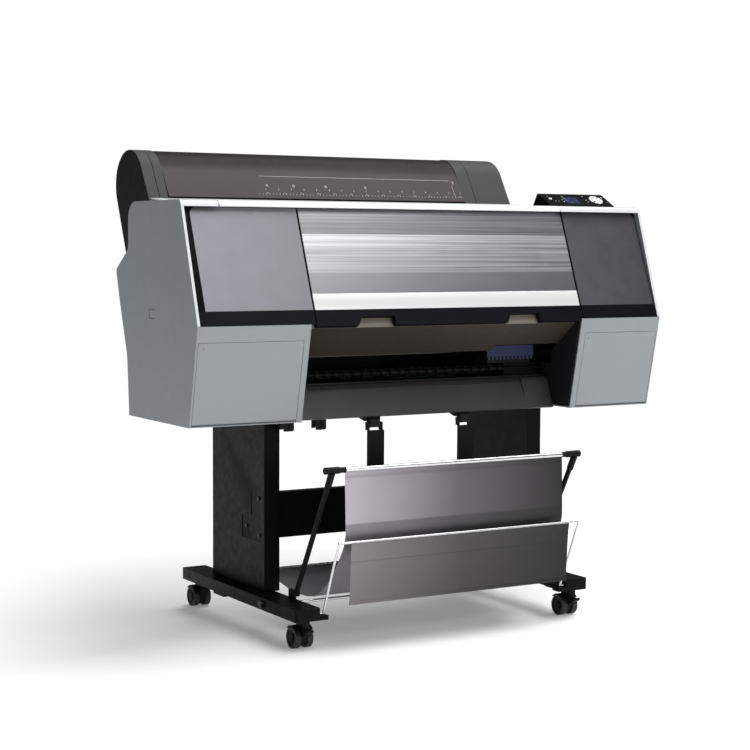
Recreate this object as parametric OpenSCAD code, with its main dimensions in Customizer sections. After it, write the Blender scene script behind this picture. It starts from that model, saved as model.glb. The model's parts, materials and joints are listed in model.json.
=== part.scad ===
// Wide-format roll-fed inkjet printer on a castered stand with a paper basket.
// X runs to the right, Y to the back, Z up. The origin is on the floor under the middle.

/* [Body] */
// Overall width over the two side housings
body_w = 1356; // [1350:1:1364]
// Height of the underside of the body
body_z = 550; // [548:0.5:552]
// Height of the body's top ridge
ridge_z = 1081; // [1080:0.5:1083]
// Wall thickness of the moulded covers
shell_t = 3.5; // [3:0.1:4]
// Inner face of the left ink bay, from the middle
bay_left_x = 378; // [376:0.5:380]
// Inner face of the right ink bay, from the middle
bay_right_x = 417; // [415:0.5:419]
// Width of the white rim beside the front frame
rim_w = 7; // [6:0.1:7.2]

/* [Front cover] */
// Left edge of the front cover
cover_x0 = -366; // [-366.5:0.1:-365.5]
// Right edge of the front cover
cover_x1 = 424; // [423.5:0.1:424.5]
// Depth of the front cover's side walls
cover_depth = 16; // [14:0.5:17]

/* [Roll bay] */
// Height of the roll's axis
roll_z = 1128; // [1126:0.5:1128]
// Distance of the roll's axis behind the middle
roll_y = 286; // [284:0.5:286]
// Outer radius of the roll caps
cap_r = 90; // [89:0.5:91]
// Left end of the roll caps
caps_x0 = -605; // [-606:0.5:-604]
// Right end of the roll caps
caps_x1 = 500; // [499:0.5:501]
// Radius of the flanges that hold the roll
flange_r = 70; // [60:1:72]

/* [Stand] */
// Middle of each foot beam, from the middle of the printer
foot_x = 398.5; // [398:0.1:399]
// Width of a foot beam
foot_w = 69; // [68:0.5:69]
// Underside of the foot beams
foot_z = 77.5; // [77:0.5:78]
// Height of a foot beam
foot_h = 30; // [29:0.5:30]
// Width of a leg column
leg_w = 43; // [41:0.5:43]
// Radius of a caster wheel
wheel_r = 26; // [25:0.5:26.5]
// Width of a caster wheel
wheel_w = 15; // [13:0.5:15.5]
// Distance of the wheels' axle behind the swivel axis
trail = 22; // [21:0.5:23]

/* [Basket] */
// Width of the cloth
cloth_w = 640; // [620:1:644]
// Thickness of the cloth
cloth_t = 2.4; // [2:0.1:2.6]
// Radius of the struts
strut_r = 6.5; // [6:0.1:6.6]
// Radius of the wire frame
wire_r = 3; // [2.5:0.1:3]

/* [Carriage] */
// Left side of the print carriage where it rests
carriage_x = 215; // [205:1:220]
// Width of the print carriage
carriage_w = 150; // [140:1:155]
// Radius of the guide shaft
shaft_r = 8; // [7:0.5:8.5]
// Radius of the belt pulleys
pulley_r = 12; // [11:0.5:12.5]

/* [Hidden] */
$fn = 48;
half_w = body_w / 2;
e = 0.01;             // small extra so that cuts pass through a face
fit = 0.06;           // radial clearance of a running fit
gap = 0.3;            // clearance between parts that pass each other

// --- outlines -------------------------------------------------------------------------
function unit(v) = v / norm(v);
function turned(v, a) = [v[0] * cos(a) - v[1] * sin(a), v[0] * sin(a) + v[1] * cos(a)];
function cross2(u, w) = u[0] * w[1] - u[1] * w[0];
// Arc of radius r that rounds corner b between a and c, as n + 1 points
function fillet(a, b, c, r, n) =
  let (u = unit(a - b), w = unit(c - b), th = acos(u * w), o = b + unit(u + w) * r / sin(th / 2),
       s = b + u * r / tan(th / 2) - o, sweep = cross2(u, w) > 0 ? th - 180 : 180 - th)
  [for (k = [0:n]) o + turned(s, sweep * k / n)];
// Outline p with each corner i rounded to radius r[i]
function rounded(p, r, n = 6) =
  let (m = len(p))
  [for (i = [0:m - 1]) each r[i] > 0 ? fillet(p[(i + m - 1) % m], p[i], p[(i + 1) % m], r[i], n) : [p[i]]];
// Outline p, drawn clockwise, moved inwards by d
function right_of(v) = [v[1], -v[0]];
function inset(p, d) =
  let (m = len(p))
  [for (i = [0:m - 1])
    let (n1 = right_of(unit(p[i] - p[(i + m - 1) % m])), n2 = right_of(unit(p[(i + 1) % m] - p[i])))
    p[i] + (n1 + n2) * d / (1 + n1 * n2)];
function less(r, d) = [for (v = r) max(0, v - d)];
// Centre line q widened to a strip of thickness t, on the left of its direction
function strip(q, t) =
  let (m = len(q),
       nrm = [for (i = [0:m - 1]) -right_of(unit(q[min(i + 1, m - 1)] - q[max(i - 1, 0)]))])
  concat(q, [for (i = [m - 1:-1:0]) q[i] + nrm[i] * t]);

// Outline of (Y, Z) points drawn out from x0 to x1
module yz(x0, x1, pts) {
  translate([x0, 0, 0]) rotate([90, 0, 90]) linear_extrude(x1 - x0) polygon(pts);
}
// Box between two corners
module box(a, b) { translate(a) cube(b - a); }
// Cylinder along X from x0 to x1 at (y, z)
module rod_x(x0, x1, y, z, r) {
  translate([x0, y, z]) rotate([0, 90, 0]) cylinder(r = r, h = x1 - x0);
}
// Cylinder between two points
module rod(a, b, r) {
  v = b - a;
  translate(a) rotate([0, acos(v[2] / norm(v)), atan2(v[1], v[0])]) cylinder(r = r, h = norm(v));
}
// A plate in X and Z with rounded corners, from y = 0 to t
module plate(x0, x1, z0, z1, t, r) {
  c = [[x0, z0], [x0, z1], [x1, z1], [x1, z0]];
  translate([0, t, 0]) rotate([90, 0, 0]) linear_extrude(t) polygon(rounded(c, r));
}
module mirror_if(flip) { if (flip) mirror([1, 0, 0]) children(); else children(); }

// --- body outline ---------------------------------------------------------------------
front_low = [-238, body_z];
front_nose = [-288, 788];
ridge = [-193, ridge_z];
nose_z = front_nose[1];
side_pts = [front_low, front_nose, ridge, [120, ridge_z], [119, 965], [199, 912], [175, 832],
  [130, 698], [119, body_z]];
side_r = [4, 6, 14, 46, 25, 12, 90, 90, 4];
side_line = rounded(side_pts, side_r);
side_hollow = rounded(inset(side_pts, shell_t), less(side_r, shell_t));
eave_z = 1066;        // underside of the ridge over the panels

// Plane of the upper front, leaning back: its foot, its lean and its height
face_foot = [-286, 788];
face_lean = 20.87;
face_top = 296;
module on_face() {
  translate([0, face_foot[0], face_foot[1]]) rotate([-face_lean, 0, 0]) children();
}
face_z0 = 0.6;        // lower edge of the trim
skin_z0 = 36.4;       // lower edge of the metallic panels
strip_z1 = 77;        // upper edge of the brushed strip
frame_y = 3;          // front of the black frame behind the panels
panel_left_x = [-651, -368.5];
panel_right_x = [427.5, 667];

// Plane of the ink doors, leaning forward
door_lean = atan2(front_low[0] - front_nose[0], nose_z - body_z);
module on_door() {
  translate([0, front_low[0], front_low[1]]) rotate([door_lean, 0, 0]) children();
}
door_z0 = 3;
door_z1 = 203.5;
door_left_x = [-672, -397];
door_right_x = [438, 674];
door_t = 2.5;
door_depth = 12;
door_pivot = [8, 11];
lug_w = 10;
slot_w = 12;

// --- side housings --------------------------------------------------------------------
pod_rear_y = 160;
rear_wall_y = 60;
seam_left = 580;
seam_right = 412;
// A side housing on the +X side: bay is its inner face, seam the end of its top, rear_in the
// end of its rear wall. A slot in its back lets the chassis plate through
module housing(bay, seam, rear_in, door_x) {
  hinge_x = [door_x[0] + 26, door_x[1] - 26 - lug_w];
  difference() {
    union() {
      yz(bay + 3, half_w, [front_low, front_nose, [pod_rear_y, nose_z], [130, 698],
        [119, body_z]]);
      yz(half_w - rim_w, half_w, side_line);
      intersection() {
        yz(seam, half_w, side_line);
        box([0, -300, eave_z], [half_w, 200, ridge_z + 1]);
      }
      intersection() {
        yz(rear_in, half_w, side_line);
        box([0, rear_wall_y, nose_z - 20], [half_w, 250, ridge_z + 1]);
      }
    }
    yz(0, half_w - shell_t, side_hollow);
    box([0, 100, body_z + shell_t], [rear_in - plate_inset + gap, 130, plate_z1 + gap]);
    on_door() box([door_x[0] - 1, -2, door_z0 - 1], [door_x[1] + 1, 3.7, door_z1 + 1]);
  }
  for (x = hinge_x) door_lug(x);
}
// Lug with the bore for a door pin; it stands on the housing's floor
module door_lug(x) {
  on_door() difference() {
    union() {
      rod_x(x, x + lug_w, door_pivot[0], door_pivot[1], 5);
      box([x, door_pivot[0], door_pivot[1] - 3], [x + lug_w, 24, door_pivot[1] + 3]);
      box([x, 18, -2], [x + lug_w, 24, door_pivot[1] + 3]);
    }
    rod_x(x - 1, x + lug_w + 1, door_pivot[0], door_pivot[1], 3 + fit);
  }
}
function flip(x) = [-x[1], -x[0]];
module housing_left() {
  color("slategray") mirror([1, 0, 0]) housing(bay_left_x, seam_left, gap - caps_x0, flip(door_left_x));
}
module housing_right() {
  color("slategray") housing(bay_right_x, seam_right, gap + caps_x1, door_right_x);
}

// --- ink doors ------------------------------------------------------------------------
module ink_door(x, closed_left) {
  pins = closed_left ? flip([flip(x)[0] + 26, flip(x)[1] - 26 - lug_w]) : [x[0] + 26, x[1] - 26 - lug_w];
  starts = closed_left ? [pins[0] - lug_w, pins[1] - lug_w] : pins;
  r = door_pivot[0];
  on_door() difference() {
    union() {
      box([x[0], 0, door_pivot[1]], [x[1], door_t, door_z1]);
      box([x[0], 0, door_z1 - door_t], [x[1], door_depth, door_z1]);
      for (s = [x[0], x[1] - door_t]) box([s, 0, door_pivot[1]], [s + door_t, door_depth, door_z1]);
      rod_x(x[0], x[1], r, door_pivot[1], r);
      for (k = [1:3]) let (s = x[0] + (x[1] - x[0]) * k / 4)
        box([s - 1, 0, door_pivot[1]], [s + 1, door_depth - 4, door_z1]);
    }
    for (s = starts) difference() {
      translate([s - (slot_w - lug_w) / 2, 0, 0]) union() {
        rod_x(0, slot_w, r, door_pivot[1], 5.6);
        box([0, 4.6, -5], [slot_w, 30, door_pivot[1]]);
        box([0, r, door_pivot[1] - e], [slot_w, 30, door_pivot[1] + 12]);
      }
      rod_x(s - 5, s + slot_w + 5, r, door_pivot[1], 3);
    }
  }
}
module ink_door_left() { color("darkgray") ink_door(door_left_x, true); }
module ink_door_right() { color("darkgray") ink_door(door_right_x, false); }

// --- upper front: black frame, panels, cover --------------------------------------------
hinge_y = 9.5;
hinge_z = 289.5;
hinge_lug = 10;
module frame_half(x0, x1, lug_x) {
  on_face() difference() {
    union() {
      box([x0, frame_y, face_z0], [x1, frame_y + 3, face_top]);
      box([x0, -1, face_z0], [x1, frame_y + e, skin_z0 - 0.6]);
      box([lug_x, frame_y + 2.9, hinge_z - 8], [lug_x + hinge_lug, 16, hinge_z + 6]);
    }
    rod_x(lug_x - 1, lug_x + hinge_lug + 1, hinge_y, hinge_z, 3 + fit);
  }
}
module front_frame() {
  color("#1b1b1f") {
    frame_half(-half_w + rim_w + gap, -368, -368 - hinge_lug);
    frame_half(427, half_w - rim_w - gap, 427);
  }
}
module panel_left() {
  color("#9a9aa0") on_face()
    plate(panel_left_x[0], panel_left_x[1], skin_z0, face_top, frame_y, [2, 18, 1, 1]);
}
module panel_right() {
  color("#55555b") on_face()
    plate(panel_right_x[0], panel_right_x[1], skin_z0, face_top, frame_y, [1, 1, 18, 2]);
}
lip_z0 = -5;
skin_t = 2.5;
notches = [[-238, -146], [199, 287]];
notch_z = 18;
// Outline in X and Z of a notch in the cover's lip, grown by d and starting at height z0
function notch(n, d, z0) =
  [[n[0] - 13 - d, z0], [n[0] - d, notch_z + d], [n[1] + d, notch_z + d], [n[1] + d, z0]];
// Outline of (X, Z) points drawn out from y0 to y1
module xz(y0, y1, pts) { translate([0, y1, 0]) rotate([90, 0, 0]) linear_extrude(y1 - y0) polygon(pts); }
module front_cover() {
  color("#1b1b1f") on_face() {
    difference() {
      union() {
        box([cover_x0, skin_t, lip_z0], [cover_x1, skin_t + 3, hinge_z]);
        box([cover_x0, -1, lip_z0], [cover_x1, skin_t + e, skin_z0 - 0.6]);
        box([cover_x0, skin_t, lip_z0], [cover_x1, cover_depth, lip_z0 + 3]);
        for (x = [cover_x0, cover_x1 - 3])
          box([x, skin_t, lip_z0], [x + 3, cover_depth, hinge_z - 24]);
        rod_x(cover_x0, cover_x1, hinge_y, hinge_z, hinge_y);
        for (k = [1:5]) let (x = cover_x0 + (cover_x1 - cover_x0) * k / 6)
          box([x - 1.2, skin_t, lip_z0], [x + 1.2, cover_depth - 3, hinge_z - 24]);
      }
      for (n = notches) xz(-2, cover_depth + 1, notch(n, 0, lip_z0 - 1));
      box([bay_right_x - 1, -2, lip_z0 - 1], [cover_x1 + 1, cover_depth + 1, face_z0]);
    }
    for (n = notches) difference() {
      xz(skin_t, cover_depth, notch(n, 2, lip_z0));
      xz(-2, cover_depth + 1, notch(n, 0, lip_z0 - 1));
    }
    rod_x(cover_x0 - 9, cover_x0 + e, hinge_y, hinge_z, 3);
    rod_x(cover_x1 - e, cover_x1 + 9, hinge_y, hinge_z, 3);
  }
}
module cover_skin() {
  tube_z = hinge_z - sqrt(pow(hinge_y, 2) - pow(hinge_y - skin_t, 2));
  color("#77777d") on_face()
    box([cover_x0, 0, strip_z1 + gap], [cover_x1, skin_t, tube_z - 0.1]);
}
module cover_strip() {
  color("silver") on_face() box([cover_x0, -0.4, skin_z0 - 0.3], [cover_x1, skin_t, strip_z1]);
}

// --- top and rear -----------------------------------------------------------------------
deck_rear = [149, 1092];
module top_deck() {
  color("whitesmoke") {
    yz(-seam_left + gap, seam_right - gap, rounded([[-197.8, eave_z], ridge, [-150, ridge_z],
      [-150, eave_z]], [2, 14, 0, 0]));
    yz(-seam_left + gap, seam_right - gap, [[-150, ridge_z - 3], [-150, ridge_z], deck_rear,
      deck_rear - [0, 3]]);
    for (x = [[caps_x0 + 2, -seam_left + gap], [seam_right - gap, caps_x1 - 2]])
      yz(x[0], x[1], [[75, 1082.3], [75, 1085.3], deck_rear, deck_rear - [0, 3]]);
  }
}
// Roll cap outline: a straight front, the arc over the roll and a straight back
cap_front = 149.2;    // direction of the arc's front end from the roll's axis
cap_back = -22.8;
function arc(r, a0, a1, n) =
  [for (k = [0:n]) [roll_y, roll_z] + turned([r, 0], a0 + (a1 - a0) * k / n)];
tray_floor_z = 905;
function cap_pts(d) = concat(
  [[150.8 + d, tray_floor_z + d], [150.8 + d, 1077]],
  arc(cap_r - d, cap_front, cap_back, 30),
  fillet([369 - d, 1093], [302 - d, 934], [270, tray_floor_z + d], 22, 4),
  [[262, tray_floor_z + d]]);
cover_in = [-550, 347];
adapter_shaft_r = 10;
hinge_rr = [365.4, 1102.2];   // hinge line of the roll cover
module cap(x0, x1, inner_x, pin_dir) {
  wall = 3;
  plate_x = pin_dir > 0 ? inner_x - wall : inner_x;
  difference() {
    yz(x0, x1, cap_pts(0));
    yz(pin_dir > 0 ? x0 + wall : x0 - 1, pin_dir > 0 ? x1 + 1 : x1 - wall, cap_pts(wall));
  }
  difference() {
    yz(plate_x, plate_x + wall, cap_pts(wall - 0.5));
    rod_x(plate_x - 1, plate_x + wall + 1, roll_y, roll_z, adapter_shaft_r + fit);
  }
  rod_x(pin_dir > 0 ? inner_x - 1 : inner_x - 10, pin_dir > 0 ? inner_x + 10 : inner_x + 1,
    hinge_rr[0], hinge_rr[1], 3);
}
module roll_caps() {
  color("#575757") {
    cap(caps_x0, cover_in[0], cover_in[0], 1);
    cap(cover_in[1], caps_x1, cover_in[1], -1);
  }
}
module roll_cover() {
  x0 = cover_in[0] + 2 * gap;
  x1 = cover_in[1] - 2 * gap;
  r0 = cap_r - 4.5;
  r1 = cap_r - 1.5;
  line = concat([[161, 1095.6]], arc(r0, cap_front, -17, 28));
  outer = concat([[158.4, 1097.2]], arc(r1, cap_front, -17, 28));
  color("#544f50") difference() {
    union() {
      yz(x0, x1, concat(outer, [for (i = [len(line) - 1:-1:0]) line[i]]));
      for (x = [x0, x1 - 2.5]) yz(x, x + 2.5, concat(outer,
        reverse(arc(r0 - 9, cap_front + 6, -15, 28)), [[170, 1100]]));
      rod_x(x0, x1, hinge_rr[0], hinge_rr[1], 5);
    }
    for (x = [x0 - 1, x1 - 12]) rod_x(x, x + 13, hinge_rr[0], hinge_rr[1], 3 + fit);
  }
}
function reverse(v) = [for (i = [len(v) - 1:-1:0]) v[i]];
module roll_adapters() {
  flange_t = 5;
  color("dimgray") for (s = [[cover_in[0] + 6, 1], [cover_in[1] - 6, -1]]) {
    x = s[0];
    lo = s[1] > 0 ? x : x - flange_t;
    rod_x(lo, lo + flange_t, roll_y, roll_z, flange_r);
    rod_x(s[1] > 0 ? x : x - 42, s[1] > 0 ? x + 42 : x, roll_y, roll_z, 25);
    rod_x(s[1] > 0 ? x - 16 : x - e, s[1] > 0 ? x + e : x + 16, roll_y, roll_z, adapter_shaft_r);
  }
}
rear_y = 236;
module rear_cover() {
  t = 3;
  color("#2a2a2c") difference() {
    union() {
      yz(cover_in[0] + gap, cover_in[1] - gap, [[150.8, 1085], [150.8, tray_floor_z - t],
        [265, tray_floor_z - t], [305, 934], [364.5, 1075.5], [361.7, 1076.6], [302, 936.3],
        [262, tray_floor_z], [153.8, tray_floor_z], [153.8, 1085]]);
      box([caps_x0 + 2, rear_y - t, 558], [caps_x1 - 2, rear_y, tray_floor_z - t]);
      for (x = [caps_x0 + 2, caps_x1 - 2 - t]) {
        yz(x, x + t, [[120.5, 558], [131.5, 698], [176.5, 832], [199.5, tray_floor_z - t],
          [rear_y, tray_floor_z - t], [rear_y, 558]]);
        yz(x, x + t, [[150.2, 946], [120.8, 966], [120.8, 1034], [150.2, 1034]]);
      }
      box([caps_x0 + 2, 150.8, tray_floor_z - t], [caps_x1 - 2, rear_y, tray_floor_z - gap]);
    }
    for (k = [0:11]) for (s = [-1, 1])
      box([s * 300 - 66 + 12 * k, rear_y - t - 1, 700], [s * 300 - 61 + 12 * k, rear_y + 1, 800]);
    box([-520, rear_y - t - 1, 590], [-486, rear_y + 1, 616]);
    box([-452, rear_y - t - 1, 592], [-418, rear_y + 1, 614]);
  }
}
module rear_sockets() {
  color("black") {
    difference() {
      box([-519.6, rear_y - 26, 590.4], [-486.4, rear_y + 1.2, 615.6]);
      box([-514, rear_y - 18, 594], [-492, rear_y + 3, 612]);
    }
    for (k = [-1:1]) rod([-503 + 7 * k, rear_y - 20, 603 + (k == 0 ? 3 : -1)],
      [-503 + 7 * k, rear_y - 6, 603 + (k == 0 ? 3 : -1)], 1.5);
    difference() {
      box([-451.6, rear_y - 20, 592.4], [-418.4, rear_y + 0.8, 613.6]);
      box([-449, rear_y - 14, 596], [-437, rear_y + 2, 610]);
      box([-433, rear_y - 14, 596], [-421, rear_y + 2, 610]);
    }
  }
}

// --- paper exit ---------------------------------------------------------------------------
exit_x = [-376, 415];
notch_x = 215;
module fascia() {
  top = [-264.5, 777];
  low = [-170, 703.5];
  short = top + (low - top) * 0.786;
  color("#5d574d") {
    yz(exit_x[0], notch_x, strip([[-256.5, 812], [-266, 787], top, low], 2.5));
    yz(notch_x, exit_x[1], strip([[-256.5, 812], [-266, 787], top, short], 2.5));
  }
}
guide_top = [-130, 632];
guide_low = [-174, 549];
// Point a part t of the way down the guide's face and d in front of it
function guide_at(t, d) = guide_top + (guide_low - guide_top) * t + right_of(unit(guide_low - guide_top)) * d;
module paper_guide() {
  color("#3f3f40") {
    yz(exit_x[0], exit_x[1], [guide_low + [9, -3.5], guide_low, guide_top, guide_top + [6, 1],
      guide_top + [6.5, -2], guide_top + [2, -2.7], guide_low + [4.2, 1.6], guide_low + [10.1, -0.7]]);
    yz(330, exit_x[1], [guide_at(0.66, -1), guide_at(0.66, 2), guide_at(0.1, 7), guide_at(0.1, -1)]);
  }
}
module platen() {
  color("#202022") {
    box([-370, -104, 646], [290, -46, 660]);
    for (k = [0:32]) box([-366 + 20 * k, -102, 660 - e], [-363 + 20 * k, -48, 663]);
  }
}
module roller(x0, x1, y, z, r, ring_r, rings) {
  rod_x(x0, x1, y, z, r);
  for (k = [0:rings - 1]) let (x = x0 + (x1 - x0) * (k + 0.25) / rings)
    rod_x(x, x + (x1 - x0) * 0.5 / rings, y, z, ring_r);
}
feed_y = -25;
feed_z = 645;
exit_y = -117;
exit_z = 652;
module feed_roller() {
  color("gray") {
    roller(-372, 408, feed_y, feed_z, 10, 14, 12);
    rod_x(-380.9 + 1, 419 - 1, feed_y, feed_z, 5);
  }
}
module exit_roller() {
  color("gray") {
    roller(-372, 290, exit_y, exit_z, 4, 7, 24);
    rod_x(-379.9, 418, exit_y, exit_z, 3);
  }
}

// --- chassis --------------------------------------------------------------------------------
plate_z0 = body_z + 3.6;
plate_z1 = plate_z0 + 3;
plate_inset = 6;      // distance of the plate's rear part inside the rear cover's sides
chassis_x = 640;
guide_pivot = [-163, 527];
guide_x = 135;
guide_w = 46;
guide_ear = 8;        // width of each of a guide's two ears
liner_low_z = 664;
module liner(x) {
  difference() {
    yz(x, x + 3, [[-233.5, plate_z1 - e], [-281.5, nose_z - 3], [-262, nose_z - 3], [-160, 700],
      [-160, liner_low_z], [100, liner_low_z], [100, plate_z1 - e]]);
    rod_x(x - 1, x + 4, feed_y, feed_z, 5 + fit);
    rod_x(x - 1, x + 4, exit_y, exit_z, 3 + fit);
  }
}
module chassis() {
  color("#2c2c2e") {
    box([-chassis_x, -164, plate_z0], [chassis_x, 114, plate_z1]);
    box([caps_x0 + plate_inset, 113, plate_z0], [caps_x1 - plate_inset, rear_y - 4, plate_z1]);
    for (s = [-1, 1]) {
      box([s * chassis_x - 1.5, -150, 670], [s * chassis_x + 1.5, 115, 900]);
      box([s * chassis_x - 1.5, 65, plate_z1 - e], [s * chassis_x + 1.5, 115, 670 + e]);
    }
    liner(-bay_left_x - 3);
    liner(bay_right_x);
    box([-bay_left_x + 1, -67, body_z], [-352, rear_y - 4, plate_z0 + e]);
    box([-395, 121, body_z], [-bay_left_x + 1 + e, rear_y - 4, plate_z0 + e]);
    box([leg_right_x, -67, body_z], [bay_right_x + 2.7, rear_y - 4, plate_z0 + e]);
    box([bay_right_x + 2.7 - e, 121, body_z], [leg_right_x + leg_w, rear_y - 4, plate_z0 + e]);
    for (s = [-1, 1]) guide_bracket(s * guide_x);
    for (x = [-354, -263]) hook(x);
  }
}
// Bracket under the chassis: a tongue with the bore for a paper guide's pin, under a gusset
module guide_bracket(x) {
  half = guide_w / 2;
  tongue = half - guide_ear - 1;
  z = plate_z0 + e;
  difference() {
    yz(x - tongue, x + tongue, [[-162.5, z], [-162.5, 544], [-170, 540], [-170, 520], [-156, 518], [-144, z]]);
    rod_x(x - half, x + half, guide_pivot[0], guide_pivot[1], 3 + fit);
  }
  xz(-156, -152, [[x - half - 22, z], [x - half - 20, 547], [x - half, 535], [x + half, 535], [x + half, z]]);
}
// Small double hook under the body
module hook(x) {
  z = plate_z0 + e;
  yz(x - 15, x - 1, [[-106, 520], [-120, 524], [-120, z], [-96, z], [-96, 518]]);
  yz(x + 1, x + 15, [[-110, 514], [-120, 518], [-120, z], [-90, z], [-90, 512]]);
}
// Hanging paper guide: a flat, slightly curved blade whose two ears carry a pin
module paper_blade(x) {
  head_z = guide_pivot[1] - 14;
  y = guide_pivot[0];
  half = guide_w / 2;
  path = [[y - 5, head_z], [y - 5, 460], [y - 4, 390], [y + 1, 330], [y + 10, 280]];
  yz(x - half, x + half, strip(path, -8));
  for (s = [-1, 1]) let (m = x + s * (half - guide_ear / 2))
    yz(m - guide_ear / 2, m + guide_ear / 2, [[y - 5, head_z - e], [y - 6, 532], [y + 5, 533],
      [y + 3, head_z - e]]);
  rod_x(x - half, x + half, guide_pivot[0], guide_pivot[1], 3);
}
module guide_left() { color("#161616") paper_blade(-guide_x); }
module guide_right() { color("#161616") paper_blade(guide_x); }

// --- carriage, rail and belt ------------------------------------------------------------------
shaft_y = -48;
shaft_z = 712;
belt_z = 750;
pulley_x = 600;
bracket_z = 770;      // top of the brackets that carry the motor and the idler's pin
module carriage_rail() {
  color("silver") {
    difference() {
      box([-chassis_x + 1.5, -20, 690], [chassis_x - 1.5, 40, 780]);
      box([-chassis_x, -17, 693], [chassis_x, 41, 777]);
    }
    rod_x(-chassis_x + 1.5, chassis_x - 1.5, shaft_y, shaft_z, shaft_r);
    for (s = [-1, 1]) translate([s * pulley_x, shaft_y, 0]) {
      difference() {
        box([-21, -21, bracket_z - 4], [21, 30, bracket_z]);
        if (s > 0) translate([0, 0, bracket_z - 5]) cylinder(r = 6, h = 6);
      }
      if (s < 0) translate([0, 0, 745]) cylinder(r = 2.5, h = bracket_z - 748);
    }
  }
}
module carriage() {
  x0 = carriage_x;
  x1 = carriage_x + carriage_w;
  color("#26282c") difference() {
    union() {
      box([x0, -148, 680], [x1, -66, 780]);
      box([x0 + 8, -140, 668], [x1 - 8, -74, 680 + e]);
      box([x0 + 14, -70, 694], [x1 - 14, -32, 734]);
      box([x0 + 40, -67, 744], [x1 - 40, -62.4, 764]);
    }
    rod_x(x0 - 1, x1 + 1, shaft_y, shaft_z, shaft_r + fit);
    for (k = [0:4]) box([x0 + 14 + 26 * k, -144, 700], [x0 + 32 + 26 * k, -72, 781]);
  }
}
module stadium(r) {
  for (s = [-1, 1]) translate([s * pulley_x, 0]) circle(r = r);
  translate([-pulley_x, -r]) square([2 * pulley_x, 2 * r]);
}
module drive_belt() {
  color("#151515") translate([0, shaft_y, belt_z]) linear_extrude(8) difference() {
    stadium(pulley_r + 1.5);
    stadium(pulley_r + 0.3);
  }
}
module pulley(x, own_shaft) {
  translate([x, shaft_y, 0]) difference() {
    union() {
      translate([0, 0, belt_z - 0.4]) cylinder(r = pulley_r, h = 8.8);
      for (z = [belt_z - 1.6, belt_z + 8.4]) translate([0, 0, z]) cylinder(r = pulley_r + 3, h = 1.2);
      if (own_shaft) translate([0, 0, belt_z]) cylinder(r = 2.5, h = 32);
    }
    if (!own_shaft) translate([0, 0, belt_z - 5]) cylinder(r = 2.5 + fit, h = 20);
    for (k = [0:4]) rotate(72 * k) translate([7.5, 0, belt_z - 5]) cylinder(r = 1.8, h = 20);
  }
}
module drive_pulley() { color("darkgray") pulley(pulley_x, true); }
module idler_pulley() { color("darkgray") pulley(-pulley_x, false); }
module carriage_motor() {
  color("#3a3a3a") translate([pulley_x, shaft_y, 0]) difference() {
    union() {
      translate([0, 0, bracket_z]) cylinder(r = 19, h = 62);
      translate([-21, -21, bracket_z]) cube([42, 42, 3]);
      translate([-8, 17, bracket_z + 44]) cube([16, 8, 12]);
    }
    translate([0, 0, bracket_z - 1]) cylinder(r = 2.5 + fit, h = 16);
  }
}
module ink_cartridges() {
  w = 33;
  color("#303338") {
    for (k = [0:4]) cartridge(-655 + 50 * k, w);
    for (k = [0:5]) cartridge(431 + 39 * k, w);
  }
}
module cartridge(x, w) {
  box([x, -205, plate_z1], [x + w, 60, 662]);
  box([x + 4, -214, 575], [x + w - 4, -205 + e, 650]);
}
module service_station() {
  color("#3c3c3e") {
    difference() {
      box([300, -104, 600], [408, -46, 664]);
      for (k = [0:1]) box([310 + 48 * k, -96, 652], [350 + 48 * k, -54, 665]);
    }
    box([300, -100, plate_z1], [400, 20, 596]);
  }
}
module electronics() {
  color("darkgreen") box([-300, 50, plate_z1 + 8], [-20, 190, plate_z1 + 10]);
  color("gray") {
    for (x = [-294, -34]) for (y = [56, 176]) box([x, y, plate_z1], [x + 8, y + 8, plate_z1 + 8 + e]);
    for (k = [0:3]) box([-280 + 62 * k, 80, plate_z1 + 10 - e], [-240 + 62 * k, 130, plate_z1 + 22]);
    box([40, 40, plate_z1], [240, 190, plate_z1 + 70]);
  }
}

// --- control panel ----------------------------------------------------------------------------
con_x = [428, 640];
con_front = [-135, 1081];
con_top = [-75, 1116.5];
con_back = [-49, 1081.2];
con_tilt = atan2(con_top[1] - con_front[1], con_top[0] - con_front[0]);
// Local frame of the sloping face: x along the width, y up the slope, z out of the face
module on_console() {
  translate([con_x[0], con_front[0], con_front[1]]) rotate([con_tilt, 0, 0]) children();
}
key_gap = 0.35;
power_at = [20, 39];
ring_at = [172, 37];
ring_r = 20;
ok_r = 8;
lcd = [[64, 16], [112, 50]];
module console() {
  color("#18181a") difference() {
    yz(con_x[0], con_x[1], rounded([con_front + [3, 0.2], con_front + [0, 2.5], con_top,
      con_top + [6, -0.5], con_back], [0, 0, 3, 3, 0]));
    on_console() {
      translate([lcd[0][0], lcd[0][1], -1.8]) cube([lcd[1][0] - lcd[0][0], lcd[1][1] - lcd[0][1], 9]);
      translate([power_at[0], power_at[1], -6]) cylinder(r = 5 + key_gap, h = 14);
      translate([ring_at[0], ring_at[1], -6]) cylinder(r = ring_r + key_gap, h = 14);
      translate([ring_at[0], ring_at[1], -8]) cylinder(r = ok_r + key_gap, h = 16);
    }
  }
}
module display() {
  g = 0.2;
  color("#20305a") on_console() translate([lcd[0][0] + g, lcd[0][1] + g, -1.8])
    cube([lcd[1][0] - lcd[0][0] - 2 * g, lcd[1][1] - lcd[0][1] - 2 * g, 2.6]);
}
key_rest = 2.6;       // how far a key's top stands above the sloping face's datum
module key_power() {
  color("silver") on_console() translate([power_at[0], power_at[1], -4]) cylinder(r = 5, h = 4 + key_rest);
}
module key_ok() {
  color("white") on_console() translate([ring_at[0], ring_at[1], -6]) cylinder(r = ok_r, h = 6 + key_rest);
}
module key_arrows() {
  color("white") on_console() translate([ring_at[0], ring_at[1], -4]) difference() {
    cylinder(r = ring_r, h = 4 + key_rest);
    translate([0, 0, -1]) cylinder(r = ok_r + key_gap, h = 12);
  }
}

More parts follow.
